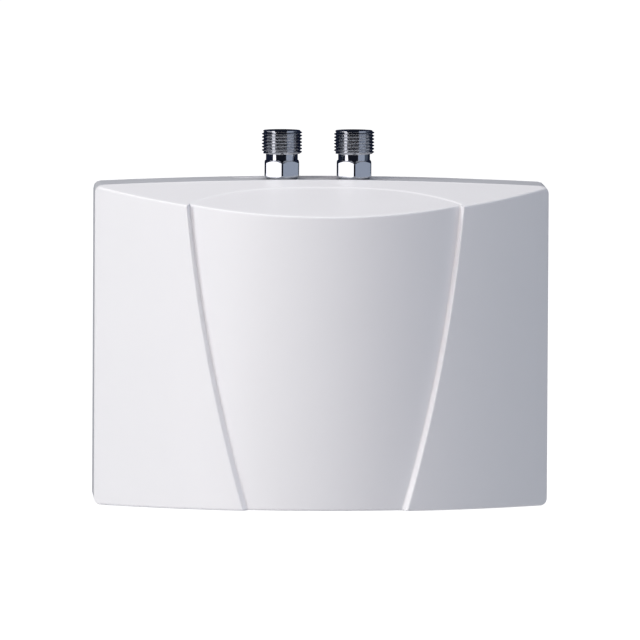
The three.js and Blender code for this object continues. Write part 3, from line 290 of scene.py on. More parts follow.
def chrome(name, colour):
    """Bright plate, faintly hazed in places."""
    paint = Paint(name, colour)
    haze = paint.patches(paint.noise(220, detail=3, rough=0.6), low=0.45, high=0.75)
    fine = paint.noise(900, detail=2, rough=0.5)
    return paint.finish({
        "Base Color": paint.mix(haze * 0.4, shade(colour, 0.7), shade(colour, 0.63)),
        "Metallic": 1.0,
        "Roughness": 0.05 + haze * 0.05,
        "Normal": paint.bump(fine, distance=0.004, strength=0.4),
    })


def rubber(name, colour, roughness):
    """Matt elastomer with a dusty bloom."""
    paint = Paint(name, colour)
    grain = paint.noise(2600, detail=3, rough=0.6)
    bloom = paint.patches(paint.noise(160, detail=4, rough=0.6), low=0.42, high=0.72)
    return paint.finish({
        "Base Color": paint.mix(bloom * 0.5, shade(colour, 1.0), shade(colour, 1.8)),
        "Roughness": roughness + bloom * 0.12,
        "Normal": paint.bump(grain, distance=0.02, strength=0.7),
    })


def ceramic(name, colour):
    """Unglazed electrical ceramic with dark specks."""
    paint = Paint(name, colour)
    speck = paint.patches(paint.noise(1500, detail=2, rough=0.5), low=0.66, high=0.72)
    cloud = paint.noise(90, detail=3, rough=0.6)
    base = paint.mix(cloud * 0.4, shade(colour, 1.0), shade(colour, 0.9))
    return paint.finish({
        "Base Color": paint.mix(speck * 0.35, base, shade(colour, 0.55)),
        "Roughness": 0.42 + cloud * 0.15,
        "Normal": paint.bump(speck + cloud, distance=0.02, strength=0.5),
    })


# Each slot's finish, with its roughness and then its fibres or brush marks where it has them
FINISHES = {
    "grey_plastic": (satin_grey,),
    "chrome_plate": (chrome,),
    "black_rubber": (rubber, 0.72),
    "bright_steel": (metal, 0.25, (1, 1, 6)),
    "heating_wire": (metal, 0.32),
    "copper": (metal, 0.2),
    "block_plastic": (plain_plastic, 0.45, 0.4),
    "brass": (metal, 0.22),
    "blue_grey_plastic": (plain_plastic, 0.4, 0.3),
    "black_plastic": (plain_plastic, 0.35),
    "red_plastic": (plain_plastic, 0.25),
    "white_ceramic": (ceramic,),
    "brown_wire": (rubber, 0.4),
    "blue_wire": (rubber, 0.4),
    "green_wire": (rubber, 0.4),
}
COLOURS = {item["slot"]: item["base_color"] for item in frame["record"]["materials"]}
SLOTS = {item["node"]: item["material_slot"] for item in frame["record"]["subparts"]}
MADE = {}


def finish(slot):
    """The material of a slot, made when it is first needed."""
    if slot not in MADE:
        make, *values = FINISHES[slot]
        MADE[slot] = make(slot, COLOURS[slot], *values)
    return MADE[slot]


# Meshes and objects

def mesh_of(name, bm):
    """Turns a bmesh into a mesh and frees it."""
    mesh = bpy.data.meshes.new(name)
    bm.to_mesh(mesh)
    bm.free()
    return mesh


def shown(name, data):
    """A new object in the scene."""
    made = bpy.data.objects.new(name, data)
    bpy.context.scene.collection.objects.link(made)
    return made


def piece(name, node, bm, body, material):
    """Makes a finished piece from a mesh drawn in millimetres, and lets it ride and stand for its node."""
    bmesh.ops.scale(bm, vec=(MM, MM, MM), verts=bm.verts)
    bmesh.ops.remove_doubles(bm, verts=bm.verts, dist=WELD * MM)
    bmesh.ops.dissolve_degenerate(bm, dist=WELD * MM, edges=bm.edges)
    bmesh.ops.recalc_face_normals(bm, faces=bm.faces)
    for face in bm.faces:
        face.smooth = True
    mesh = mesh_of(name, bm)
    mesh.set_sharp_from_angle(angle=SHARP_ANGLE)
    mesh.materials.append(material)
    made = shown(name, mesh)
    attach(made, body)
    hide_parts(node)
    return made


def fit(name, node, bm, body="housing", way=None):
    """Makes a piece with its node's own finish, stood where the node is if a way is given."""
    if way:
        placed(bm, node, way)
    made = piece(name, node, bm, body, finish(SLOTS[node]))
    made.modifiers.new("normals", "WEIGHTED_NORMAL").keep_sharp = True
    return made


def corners_of(node):
    """Lowest and highest corners of a node, in millimetres."""
    return [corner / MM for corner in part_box(node)]


def run_of(node, way):
    """How far a node reaches upwards, or towards the front."""
    low, high = corners_of(node)
    return (high - low).z if way == "up" else (high - low).y


def placed(bm, node, way):
    """Sets a shape drawn upwards from zero where a node stands; a forward one points at the viewer."""
    low, high = corners_of(node)
    centre = (low + high) / 2
    if way == "up":
        shift = Matrix.Translation((centre.x, centre.y, low.z))
    else:
        shift = Matrix.Translation((centre.x, high.y, centre.z)) @ Matrix.Rotation(pi / 2, 4, "X")
    bmesh.ops.transform(bm, matrix=shift, verts=bm.verts)


def joined(whole, *others):
    """Puts several meshes into the first."""
    for other in others:
        mesh = mesh_of("other", other)
        whole.from_mesh(mesh)
        bpy.data.meshes.remove(mesh)
    return whole


def remove(obj):
    """Removes a helper object with its data."""
    data = obj.data
    bpy.data.objects.remove(obj)
    store = bpy.data.curves if isinstance(data, bpy.types.Curve) else bpy.data.meshes
    store.remove(data)


def evaluated(obj):
    """The finished mesh of a helper object, which is then removed."""
    mesh = bpy.data.meshes.new_from_object(obj.evaluated_get(bpy.context.evaluated_depsgraph_get()))
    bm = bmesh.new()
    bm.from_mesh(mesh)
    bpy.data.meshes.remove(mesh)
    remove(obj)
    return bm


def carved(base, operation, *tools):
    """Cuts tools from a solid, joins them to it or keeps what they share."""
    for shape in (base, *tools):
        bmesh.ops.recalc_face_normals(shape, faces=shape.faces)
    whole = shown("base", mesh_of("base", base))
    helpers = [shown("tool", mesh_of("tool", tool)) for tool in tools]
    for helper in helpers:
        modifier = whole.modifiers.new("carve", "BOOLEAN")
        modifier.operation = operation
        modifier.solver = "EXACT"
        modifier.object = helper
    bm = evaluated(whole)
    for helper in helpers:
        remove(helper)
    return bm


def curve_from(start, corner, end, share):
    """A point on the soft corner between two straight runs."""
    return start * (1 - share) ** 2 + corner * (2 * share * (1 - share)) + end * share ** 2


def eased(*corners):
    """An outline of (radius, height, rounding) corners, each rounded between its neighbours in the list.

    A list of only two corners folds back on itself instead of being rounded.
    """
    steps, most = 3, 0.48
    points = []
    for index, (radius, height, *ease) in enumerate(corners):
        here = Vector((radius, height))
        if not ease:
            points.append(here)
            continue
        ends = []
        for neighbour in (corners[index - 1], corners[(index + 1) % len(corners)]):
            way = Vector(neighbour[:2]) - here
            ends.append(here + way.normalized() * min(ease[0], way.length * most))
        points += [curve_from(ends[0], here, ends[1], i / steps) for i in range(steps + 1)]
    return points


def spun(bm, verts, edges, angle, steps, rise=0.0, closed=False):
    """Turns edges about Z, so much higher with each step."""
    bmesh.ops.spin(bm, geom=verts + edges, cent=(0, 0, 0), axis=(0, 0, 1), dvec=(0, 0, rise), angle=angle,
                   steps=steps, use_merge=closed, use_duplicate=False)


def turned(outline, steps):
    """A solid turned about Z from an outline that runs from axis to axis or closes on itself."""
    bm = bmesh.new()
    verts = [bm.verts.new((point[0], 0, point[1])) for point in outline]
    pairs = list(zip(verts, verts[1:]))
    if outline[0][0] > 0:
        pairs.append((verts[-1], verts[0]))
    spun(bm, verts, [bm.edges.new(pair) for pair in pairs], TURN, steps, closed=True)
    bmesh.ops.remove_doubles(bm, verts=bm.verts, dist=MERGE)
    return bm


def flat_ring(inner, outer, low, high, inner_ease, outer_ease, steps):
    """A washer or seal between two radii and two heights."""
    return turned(eased((inner, low, inner_ease), (outer, low, outer_ease), (outer, high, outer_ease),
                        (inner, high, inner_ease)), steps)


def block(width, depth, height, centre):
    """A box about a centre."""
    bm = bmesh.new()
    bmesh.ops.create_cube(bm, size=1.0)
    bmesh.ops.scale(bm, vec=(width, depth, height), verts=bm.verts)
    bmesh.ops.translate(bm, vec=centre, verts=bm.verts)
    return bm


def blocks_around(count, spread, *sizes):
    """Copies of a box turned about Z over so much of a turn."""
    made = []
    for i in range(count):
        bm = block(*sizes)
        bmesh.ops.rotate(bm, cent=(0, 0, 0), matrix=Matrix.Rotation(spread * i / count, 3, "Z"),
                         verts=bm.verts)
        made.append(bm)
    return made


def smooth_run(points, per):
    """Points of a smooth run through the given ones, so many to each stretch."""
    points = [Vector(p) for p in points]
    points = [2 * points[0] - points[1], *points, 2 * points[-1] - points[-2]]
    found = []
    for a, b, c, d in zip(points, points[1:], points[2:], points[3:]):
        ta = 0.0
        tb = ta + sqrt((b - a).length)
        tc = tb + sqrt((c - b).length)
        td = tc + sqrt((d - c).length)
        for i in range(per):
            t = lerp(tb, tc, i / per)
            ab = a.lerp(b, (t - ta) / (tb - ta))
            bc = b.lerp(c, (t - tb) / (tc - tb))
            cd = c.lerp(d, (t - tc) / (td - tc))
            abc = ab.lerp(bc, (t - ta) / (tc - ta))
            bcd = bc.lerp(cd, (t - tb) / (td - tb))
            found.append(abc.lerp(bcd, (t - tb) / (tc - tb)))
    found.append(points[-2])
    return found


def drawn_wire(points, diameter, fineness):
    """A round wire or rod along points."""
    data = bpy.data.curves.new("run", "CURVE")
    data.dimensions = "3D"
    spline = data.splines.new("POLY")
    spline.points.add(len(points) - 1)
    for spot, point in zip(spline.points, points):
        spot.co = (*point, 1)
    data.bevel_depth = diameter / 2
    data.bevel_resolution = fineness
    data.use_fill_caps = True
    bm = evaluated(shown("run", data))
    bmesh.ops.remove_doubles(bm, verts=bm.verts, dist=MERGE)
    return bm


def dressed(node, ease):
    """The solid's own shape with its edges eased."""
    bm = bmesh.new()
    bm.from_mesh(frame["nodes"][node].data)
    bmesh.ops.scale(bm, vec=(1 / MM, 1 / MM, 1 / MM), verts=bm.verts)
    bmesh.ops.remove_doubles(bm, verts=bm.verts, dist=COARSE_MERGE)
    bmesh.ops.dissolve_limit(bm, angle_limit=FLAT_ANGLE, verts=bm.verts, edges=bm.edges)
    bmesh.ops.recalc_face_normals(bm, faces=bm.faces)
    sharp = [edge for edge in bm.edges if edge.is_manifold and edge.calc_face_angle(0) > EASED_ANGLE]
    bmesh.ops.bevel(bm, geom=sharp, offset=ease, segments=2, affect="EDGES", profile=0.5, clamp_overlap=True,
                    material=-1)
    return bm


# Cover, as a grid of columns from the middle to the side and of rows from the top's rear edge to the bottom's

PANEL_COLUMNS = 26
FOLD_COLUMNS = (("inner", 5), ("strip", 3), ("outer", 5))
WING_COLUMNS = 32
WING_CROWDING = 1.6
CORNER_COLUMNS = 4
REAR_ROWS = 12
FLOOR_ROWS = (0.05, 0.2, 0.4, 0.6, 0.8, 0.95)
ROUND_ROWS = 7
FRONT_ROWS = 52
LAST_PANEL_GAP = 0.5
FIRST_WING_SHARE = 0.012
FIRST_FRONT_SHARE = 0.003

# The step down into the sunk area on top: distance across its edge, and share of the drop
STEP_SHAPE = ((-1.1, 0.0), (-0.7, 0.05), (-0.35, 0.2), (0.0, 0.5), (0.35, 0.8), (0.7, 0.95), (1.1, 1.0))
STEP_ROOM = 1.2

# The most that a rounding takes of its run, and the rounding where front and side meet
MOST_ROUNDED = 0.42
SIDE_ROUND = 0.6

# Where the step's line runs beside the panel and how close to the front edge it may come
WING_LINE_SHARE = 0.55
WING_LINE_POWER = 0.5
LAST_LINE_SHARE = 0.985
LINE_GAP = 0.3
LINE_BELOW_TOP = 2

# The cover's rim: distance in from the outline and depth past the seam
RIM_ROUND = 0.3
RIM_RINGS = ((0.03, 0.12), (0.09, 0.04), (0.2, 0.0), (1.1, 0.0), (1.15, 0.06),
             (1.15, REBATE_DEPTH - SEAM_DEPTH))

# Searches: steps of halving, rounds of settling with their first guess below the top, and a small step
HALVINGS = 40
SETTLINGS = 5
FIRST_GUESS = 4
NUDGE = 0.01


def front_depth(x):
    return SIDE_DEPTH + BELLY * (1 - (x / SIDE) ** 2)


def front_slant(x):
    return 2 * BELLY * abs(x) / SIDE ** 2


def rim_height(x, inset, end):
    """Height of the top or bottom edge of the case at x, as a distance from its middle."""
    bow = BOWS[end]
    level = LEVEL - bow - inset
    radius = max(CORNER - inset, CORNER / 4)
    reach = SIDE - inset - radius
    if x <= reach:
        return level + bow * (1 - (x / reach) ** 2)
    over = min(x - reach, radius)
    return level - radius + sqrt(radius ** 2 - over ** 2)


def even(count, margin=0.0):
    """Shares from 0 to 1, with one more close to the end where a margin is given."""
    shares = [i / count for i in range(count + 1)]
    if margin:
        shares.insert(-1, 1 - margin / (2 * count))
    return shares


class CoverSkin:
    """The outer or inner skin of the cover: a point for each column and row of a grid."""

    def __init__(self, sizes, inset, seam):
        self.inset = inset
        self.seam = seam
        self.edge = sizes.edge_round / MM / (2 if inset else 1)
        self.fold = sizes.fold_round / MM
        self.extra = sizes.fold_depth / MM
        self.reach = self.side_reach()
        self.cache = {}
        self.columns = [("panel", t) for t in even(PANEL_COLUMNS, LAST_PANEL_GAP)]
        for group, count in FOLD_COLUMNS:
            self.columns += [(group, (i + 1) / count) for i in range(count)]
        self.columns.append(("wing", FIRST_WING_SHARE))
        for i in range(WING_COLUMNS):
            self.columns.append(("wing", 1 - (1 - (i + 1) / WING_COLUMNS) ** WING_CROWDING))
        self.columns += [("corner", (i + 1) / CORNER_COLUMNS) for i in range(CORNER_COLUMNS)]
        self.columns.append(("wall", 1.0))
        self.rows = [("rear", t) for t in even(REAR_ROWS)]
        self.rows += [("step", i) for i in range(len(STEP_SHAPE))]
        self.rows += [("floor", t) for t in FLOOR_ROWS]
        self.rows += [("round", i / ROUND_ROWS) for i in range(ROUND_ROWS + 1)]
        self.half_rows = len(self.rows)
        self.front = [FIRST_FRONT_SHARE, *even(FRONT_ROWS)[1:-1], 1 - FIRST_FRONT_SHARE]

    def side_reach(self):
        """Half the skin's width: where its front meets the side or the seam."""
        low, high = 0.0, SIDE - self.inset
        if self.wing_depth(high) >= self.seam:
            return high
        for _ in range(HALVINGS):
            middle = (low + high) / 2
            if self.wing_depth(middle) > self.seam:
                low = middle
            else:
                high = middle
        return low

    def wing_depth(self, x):
        return front_depth(x) - self.inset * hypot(1, front_slant(x))

    def share(self, z):
        """0 at the case's top and 1 at its bottom."""
        return (LEVEL - z) / (2 * LEVEL)

    def half(self, z):
        """Half the width between the strips' outer corners."""
        share = self.share(z)
        return lerp(*PANEL_HALVES, share) + 4 * PANEL_BOW * share * (1 - share) + self.inset

    def inner(self, z):
        """Half the width between the strips' inner corners."""
        return self.half(z) - lerp(*PANEL_BEVELS, self.share(z))

    def panel_depth(self, x, z):
        share = self.share(z)
        recess = lerp(*PANEL_RECESSES, share)
        recess += self.extra * (1 - min(max(share, 0), 1)) * (x / self.inner(z)) ** 3
        return self.wing_depth(x) - recess

    def section(self, column, z):
        """Plan point of a column at height z."""
        group, t = self.columns[column]
        half, inner = self.half(z), self.inner(z)
        outer_corner = Vector((half, self.wing_depth(half)))
        inner_corner = Vector((inner, self.panel_depth(inner, z)))
        wall = outer_corner - inner_corner
        way = wall.normalized()
        fold = min(self.fold, MOST_ROUNDED * wall.length)
        panel_end = Vector((inner - fold, self.panel_depth(inner - fold, z)))
        strip_start = inner_corner + way * fold
        strip_end = outer_corner - way * fold
        wing_start = Vector((half + fold, self.wing_depth(half + fold)))
        side = Vector((self.reach, self.wing_depth(self.reach)))
        rounding = min(SIDE_ROUND, MOST_ROUNDED * max(side.y - self.seam, 0.0))
        wing_end = self.reach - rounding
        if group == "panel":
            x = t * panel_end.x
            return Vector((x, self.panel_depth(x, z)))
        if group == "inner":
            return curve_from(panel_end, inner_corner, strip_start, t)
        if group == "strip":
            return strip_start.lerp(strip_end, t)
        if group == "outer":
            return curve_from(strip_end, outer_corner, wing_start, t)
        if group == "wing":
            x = lerp(wing_start.x, wing_end, t)
            return Vector((x, self.wing_depth(x)))
        if group == "corner":
            wall_start = Vector((side.x, side.y - rounding))
            return curve_from(Vector((wing_end, self.wing_depth(wing_end))), side, wall_start, t)
        return Vector((side.x, self.seam))

    def sunk(self, x, z):
        """How far a column has sunk into the panel: 0 on the wing, 1 on the panel."""
        half, inner = self.half(z), self.inner(z)
        return smooth((half - x) / (half - inner))

    def face(self, x, depth, end, sink):
        """Height of the top or bottom surface, as a distance from the middle."""
        return rim_height(x, self.inset, end) - SLOPES[end] * (depth - BASE_DEPTH) - DROPS[end] * sink

    def on_face(self, x, depth, end, sink):
        return Vector((x, depth, end * self.face(x, depth, end, sink)))

    def corner(self, column, end):
        """The rounded edge between the front and the top or bottom surface at a column."""
        key = (column, end)
        if key in self.cache:
            return self.cache[key]
        z = end * (LEVEL - FIRST_GUESS)
        for _ in range(SETTLINGS):
            plan = self.section(column, z)
            sink = self.sunk(plan.x, z)
            z = end * self.face(plan.x, plan.y, end, sink)
        out = Vector((front_slant(plan.x), 1)).normalized()
        fall = (rim_height(plan.x - NUDGE, self.inset, end) - rim_height(plan.x, self.inset, end)) / NUDGE
        lean = atan(SLOPES[end] * out.y + fall * out.x)
        bend = pi / 2 - lean
        radius = min(self.edge, MOST_ROUNDED * max(plan.y - self.seam, 0.0))
        reach = radius * tan(bend / 2)
        start_plan = plan - out * (reach * cos(lean))
        start = self.on_face(start_plan.x, start_plan.y, end, sink)
        low_z = z - end * reach
        low = self.section(column, low_z)
        found = (start, Vector((plan.x, plan.y, z)), Vector((low.x, low.y, low_z)), cos(bend / 2), sink)
        self.cache[key] = found
        return found

    def line_depth(self, column, end, start):
        """Depth of the step's line on the top or bottom surface."""
        group, t = self.columns[column]
        half = self.half(end * (LEVEL - LINE_BELOW_TOP))
        line_half = PANEL_HALVES[0] + self.inset
        rear = PANEL_REAR - self.inset
        if group in ("wing", "corner", "wall"):
            share = WING_LINE_SHARE
            if group == "wing":
                edge = self.wing_depth(half) - self.edge
                first = (rear + PANEL_SWEEP * (half / line_half) ** 3 - self.seam) / (edge - self.seam)
                share = lerp(first, share, t ** WING_LINE_POWER)
            return self.seam + (start.y - self.seam) * min(share, LAST_LINE_SHARE)
        return min(rear + PANEL_SWEEP * (start.x / line_half) ** 3, start.y - LINE_GAP)

    def point(self, column, row):
        """Point of the skin at a column and row: x, depth and z."""
        total = 2 * self.half_rows + len(self.front)
        if row < self.half_rows:
            end, (kind, t) = 1, self.rows[row]
        elif row >= total - self.half_rows:
            end, (kind, t) = -1, self.rows[total - 1 - row]
        else:
            top, bottom = self.corner(column, 1)[2].z, self.corner(column, -1)[2].z
            z = lerp(top, bottom, self.front[row - self.half_rows])
            plan = self.section(column, z)
            return Vector((plan.x, plan.y, z))
        start, edge, low, weight, sink = self.corner(column, end)
        if kind == "round":
            a, b, c = (1 - t) ** 2, 2 * t * (1 - t) * weight, t ** 2
            return (start * a + edge * b + low * c) / (a + b + c)
        line = self.line_depth(column, end, start)
        tight = min(1.0, max(start.y - line, 0) / STEP_ROOM, max(line - self.seam, 0) / STEP_ROOM)
        if kind == "rear":
            depth, sunk = lerp(self.seam, max(line + STEP_SHAPE[0][0], self.seam), t), 0.0
        elif kind == "step":
            offset, sunk = STEP_SHAPE[t]
            depth = line + offset * tight
        else:
            depth, sunk = lerp(line + STEP_SHAPE[-1][0] * tight, start.y, t), 1.0
        x = lerp(edge.x, start.x, (depth - self.seam) / max(start.y - self.seam, 1e-6))
        return self.on_face(x, depth, end, sink * sunk)


def sheet_grid(skin, rings):
    """A grid laid over the skin, with extra rings past its edge along the rim."""
    half_columns = len(skin.columns)
    columns = 2 * half_columns - 1
    rows = 2 * skin.half_rows + len(skin.front)
    extra = len(rings)
    wide, high = columns + 2 * extra - 1, rows + 2 * extra - 1
    bm = bmesh.new()
    bmesh.ops.create_grid(bm, x_segments=wide, y_segments=high, size=1.0)
    for vert in bm.verts:
        i = round((vert.co.x + 1) / 2 * wide) - extra
        j = high - round((vert.co.y + 1) / 2 * high) - extra
        ring = max(-i, i - columns + 1, -j, j - rows + 1, 0)
        i, j = min(max(i, 0), columns - 1), min(max(j, 0), rows - 1)
        column = abs(i - half_columns + 1)
        sign = 1 if i >= half_columns - 1 else -1
        at = skin.point(column, j)
        if ring:
            at = rings[ring - 1](column, j, at)
        vert.co = (sign * at.x, -at.y, at.z)
    return bm


def rim_ring(inset, rise):
    """A ring of the cover's rim, a step in from its outline."""
    def ring(column, row, at):
        x = at.x * (SIDE - inset) / SIDE
        end = 1 if at.z > 0 else -1
        height = rim_height(x, inset, end)
        if at.x > SIDE - CORNER:
            height = min(abs(at.z), height)
        return Vector((x, SEAM_DEPTH + rise, end * height))
    return ring


def cover_shell(sizes):
    """The whole cover: outer skin, rim and inner skin as one closed shell."""
    outer = CoverSkin(sizes, 0.0, SEAM_DEPTH + RIM_ROUND)
    inner = CoverSkin(sizes, SHELL, REBATE_DEPTH)
    rings = [rim_ring(inset, rise) for inset, rise in RIM_RINGS]
    rings.append(lambda column, row, at: inner.point(column, row))
    bm = joined(sheet_grid(outer, rings), sheet_grid(inner, []))
    bmesh.ops.remove_doubles(bm, verts=bm.verts, dist=MERGE)
    bmesh.ops.dissolve_degenerate(bm, dist=MERGE, edges=bm.edges)
    return bm


class CoverSizes(bpy.types.PropertyGroup):
    colour: FloatVectorProperty(name="Colour", description="Colour of the cover", subtype="COLOR",
                                size=3, min=0, max=1, default=(0.88, 0.88, 0.905))
    edge_round: length("Edge", "Rounding of the front edges", 0.9)
    fold_round: length("Fold", "Rounding along the sides of the middle panel", 0.5)
    fold_depth: length("Fold depth", "Extra depth of the middle panel's upper sides", 3.0)


class HEATER_OT_cover(bpy.types.Operator):
    """Models the bowed front cover with its inset middle panel"""
    bl_idname = "heater.cover"
    bl_label = "Front Cover"

    def execute(self, context):
        sizes = context.scene.heater_cover
        white = gloss_white("white_plastic", sizes.colour)
        piece("cover_shell", "front_cover", cover_shell(sizes), "cover", white)
        return {"FINISHED"}


# Water fittings, drawn upwards from their lower end

# One turn of the thread: share of the pitch, and share of the way from root to crest
THREAD_SHAPE = ((0.0, 0.0), (0.07, 0.02), (0.13, 0.1), (0.41, 0.9), (0.46, 0.98), (0.5, 1.0),
                (0.54, 0.98), (0.59, 0.9), (0.87, 0.1), (0.93, 0.02), (1.0, 0.0))
THREAD_DEPTH_SHARE = 0.64
THREAD_STEPS = 48
THREAD_RUN_OUT = 0.7
NECK_LENGTH = 2.75
HEX_HEIGHT = 7.1

# Distances from a fitting's top to the hexagon's underside, and of the hexagon's ends past that height
HEX_DROP = 19.4
HEX_BELOW = 0.35
HEX_ABOVE = 7.2


def extruded(bm, edges, spots):
    """Extrudes an open loop through rings of so much radius and height."""
    for radius, height in spots:
        made = bmesh.ops.extrude_edge_only(bm, edges=edges)["geom"]
        verts = {item for item in made if isinstance(item, bmesh.types.BMVert)}
        edges = [item for item in made if isinstance(item, bmesh.types.BMEdge) and set(item.verts) <= verts]
        for vert in verts:
            flat = vert.co.xy.normalized() * radius
            vert.co = (flat.x, flat.y, height)
    return edges


def open_loop(bm, height):
    """The open edges at a height."""
    return [edge for edge in bm.edges
            if edge.is_boundary and all(abs(vert.co.z - height) < NUDGE for vert in edge.verts)]


def threaded_sleeve(sizes, crest, low, top):
    """The open skin of a thread with true helical turns, cut level at both ends and chamfered."""
    pitch = sizes.pitch / MM
    root = crest - THREAD_DEPTH_SHARE * pitch
    turns = ceil((top - low) / pitch) + 2
    bm = bmesh.new()
    verts = [bm.verts.new((lerp(root, crest, rise), 0, low - pitch + share * pitch))
             for share, rise in THREAD_SHAPE]
    edges = [bm.edges.new(pair) for pair in zip(verts, verts[1:])]
    spun(bm, verts, edges, TURN * turns, THREAD_STEPS * turns, rise=pitch / THREAD_STEPS)
    bmesh.ops.remove_doubles(bm, verts=bm.verts, dist=COARSE_MERGE)
    for height, way in ((top, 1), (low, -1)):
        bmesh.ops.bisect_plane(bm, geom=bm.verts[:] + bm.edges[:] + bm.faces[:], plane_co=(0, 0, height),
                               plane_no=(0, 0, way), clear_outer=True, dist=0.0001)
    chamfer = sizes.chamfer / MM
    for vert in bm.verts:
        limit = crest - max(chamfer - (top - vert.co.z), 0) - max(THREAD_RUN_OUT - (vert.co.z - low), 0)
        reach = vert.co.xy.length
        if reach > limit:
            vert.co.xy *= limit / reach
    return bm


def threaded_stem(sizes, top):
    """The threaded, necked and bored stem of a fitting, from 0 at its lower end to top."""
    neck = sizes.neck / MM / 2
    low = top - sizes.thread_length / MM
    hexagon = low - NECK_LENGTH - HEX_HEIGHT / 2
    shank, groove, bore, way, socket = 5.3, 4.4, 5.0, 3.2, 4.3
    bore_depth, socket_depth = 17, 5.0
    groove_low, groove_high, edge, lead_in = 8.9, 10.7, 0.1, 0.2
    bm = threaded_sleeve(sizes, sizes.thread / MM / 2, low, top)
    inner = extruded(bm, open_loop(bm, top), (
        (bore + 0.9, top), (bore + 0.7, top - 0.08), (bore + 0.05, top - 0.7), (bore, top - 0.9),
        (bore, top - bore_depth), (way + 0.3, top - bore_depth - 0.2), (way, top - bore_depth - 0.6)))
    outer = extruded(bm, open_loop(bm, low), (
        (neck + 0.15, low), (neck, low - 0.2), (neck, hexagon), (shank, hexagon), (shank, groove_high + edge),
        (shank - edge, groove_high), (groove, groove_high), (groove, groove_low), (shank - edge, groove_low),
        (shank, groove_low - edge), (shank, 0.5), (shank - 0.4, 0.0), (socket + lead_in, 0.0),
        (socket, lead_in), (socket, socket_depth), (way, socket_depth)))
    bmesh.ops.bridge_loops(bm, edges=inner + outer)
    return bm


def chamfered_hexagon(flats, low, high, chamfer, ease, bore, seat):
    """A hexagon with an edge to the front, its corners turned off and its underside bored up to its seat."""
    radius = flats / sqrt(3)
    bm = bmesh.new()
    bmesh.ops.create_cone(bm, cap_ends=True, segments=6, radius1=radius, radius2=radius, depth=high - low)
    bmesh.ops.translate(bm, vec=(0, 0, (low + high) / 2), verts=bm.verts)
    upright = [edge for edge in bm.edges if abs(edge.verts[0].co.z - edge.verts[1].co.z) > 1]
    bmesh.ops.bevel(bm, geom=upright, offset=ease, segments=4, affect="EDGES", profile=0.5, material=-1)
    turned_off = turned([
        (0, seat), (bore, seat), (bore, low), (radius - chamfer, low), (radius, low + chamfer),
        (radius, high - chamfer), (radius - chamfer, high), (0, high)], 72)
    return carved(bm, "INTERSECT", turned_off)


def water_fitting(sizes, top):
    """A whole fitting: stem and hexagon, with the seal's bore under the hexagon."""
    hexagon = top - HEX_DROP
    nut = chamfered_hexagon(sizes.flats / MM, hexagon - HEX_BELOW, hexagon + HEX_ABOVE, chamfer=1.4, ease=0.6,
                            bore=6.4, seat=hexagon)
    return carved(threaded_stem(sizes, top), "UNION", nut)


def strainer():
    """A cup with six pairs of slits in its wall and a ring of small holes in its floor."""
    radius, wall, height = 4.7, 0.8, 9
    inner = 3.9
    cup = turned(eased((0, 0), (radius, 0, 0.6), (radius, height, 0.35), (inner, height, 0.35),
                       (inner, wall, 0.3), (0, wall)), 48)
    slits = blocks_around(6, pi, 12, 0.7, 5.4, (0, 0, 4.6))
    holes = blocks_around(8, TURN, 0.8, 0.8, 4, (2.2, 0, 0))
    return carved(cup, "DIFFERENCE", *slits, *holes)


def flow_limiter():
    """A disc whose hole opens upwards."""
    radius, thickness, hole, mouth = 4.7, 3, 1.5, 2.4
    return turned(eased((hole, 0, 0.3), (radius, 0, 0.4), (radius, thickness, 0.4), (mouth, thickness, 0.3),
                        (hole, 1.8, 0.3)), 40)


class FittingSizes(bpy.types.PropertyGroup):
    thread: length("Thread", "Outside diameter of the thread", 16.66)
    pitch: length("Pitch", "Pitch of the thread", 1.337)
    thread_length: length("Thread length", "Length of the thread", 9.55)
    chamfer: length("Chamfer", "Chamfer at the start of the thread", 0.85)
    neck: length("Neck", "Diameter of the neck", 13.1)
    flats: length("Hexagon", "Width across the flats of the hexagon", 14.0)


class HEATER_OT_fittings(bpy.types.Operator):
    """Models the two threaded water fittings with their seals, clips, strainer and limiter"""
    bl_idname = "heater.fittings"
    bl_label = "Water Fittings"

    def execute(self, context):
        sizes = context.scene.heater_fittings
        for side in ("inlet", "outlet"):
            node = f"{side}_fitting"
            fit(f"{side}_connection", node, water_fitting(sizes, run_of(node, "up")), way="up")
            seal = flat_ring(5.6, 6.3, 0, 0.8, 0.2, 0.2, 56)
            fit(f"{side}_seal_ring", f"{side}_seal", seal, way="up")
            fit(f"{side}_retainer", f"{side}_clip", dressed(f"{side}_clip", 0.2))
        fit("inlet_sieve", "inlet_strainer", strainer(), "strainer", "up")
        fit("limiter_disc", "flow_limiter", flow_limiter(), way="up")
        return {"FINISHED"}


# Screws, drawn upwards from their tip

# Groups of like screws: how many, and which way they stand
SCREWS = {"lid": (4, "up"), "cap": (2, "up"), "microswitch": (2, "front"), "cutout": (2, "front"),
          "clamp": (2, "front")}

# Shaft, head, height of the head, and width and depth of the slot
PLAIN_SCREW = (3.0, 5.6, 2.2, 0.8, 1.0)
SMALL_SCREW = (2.4, 4.4, 1.6, 0.8, 1.0)
TERMINAL_SCREW = (3.6, 4.0, 1.9, 0.8, 1.1)


def thread_turns(radius, low, run, pitch, depth_share):
    """Corners of the turns that fit on a run of a screw."""
    found = []
    for i in range(int(run / pitch)):
        base = low + i * pitch
        found += [(radius - depth_share * pitch, base), (radius, base + pitch / 2)]
    return found


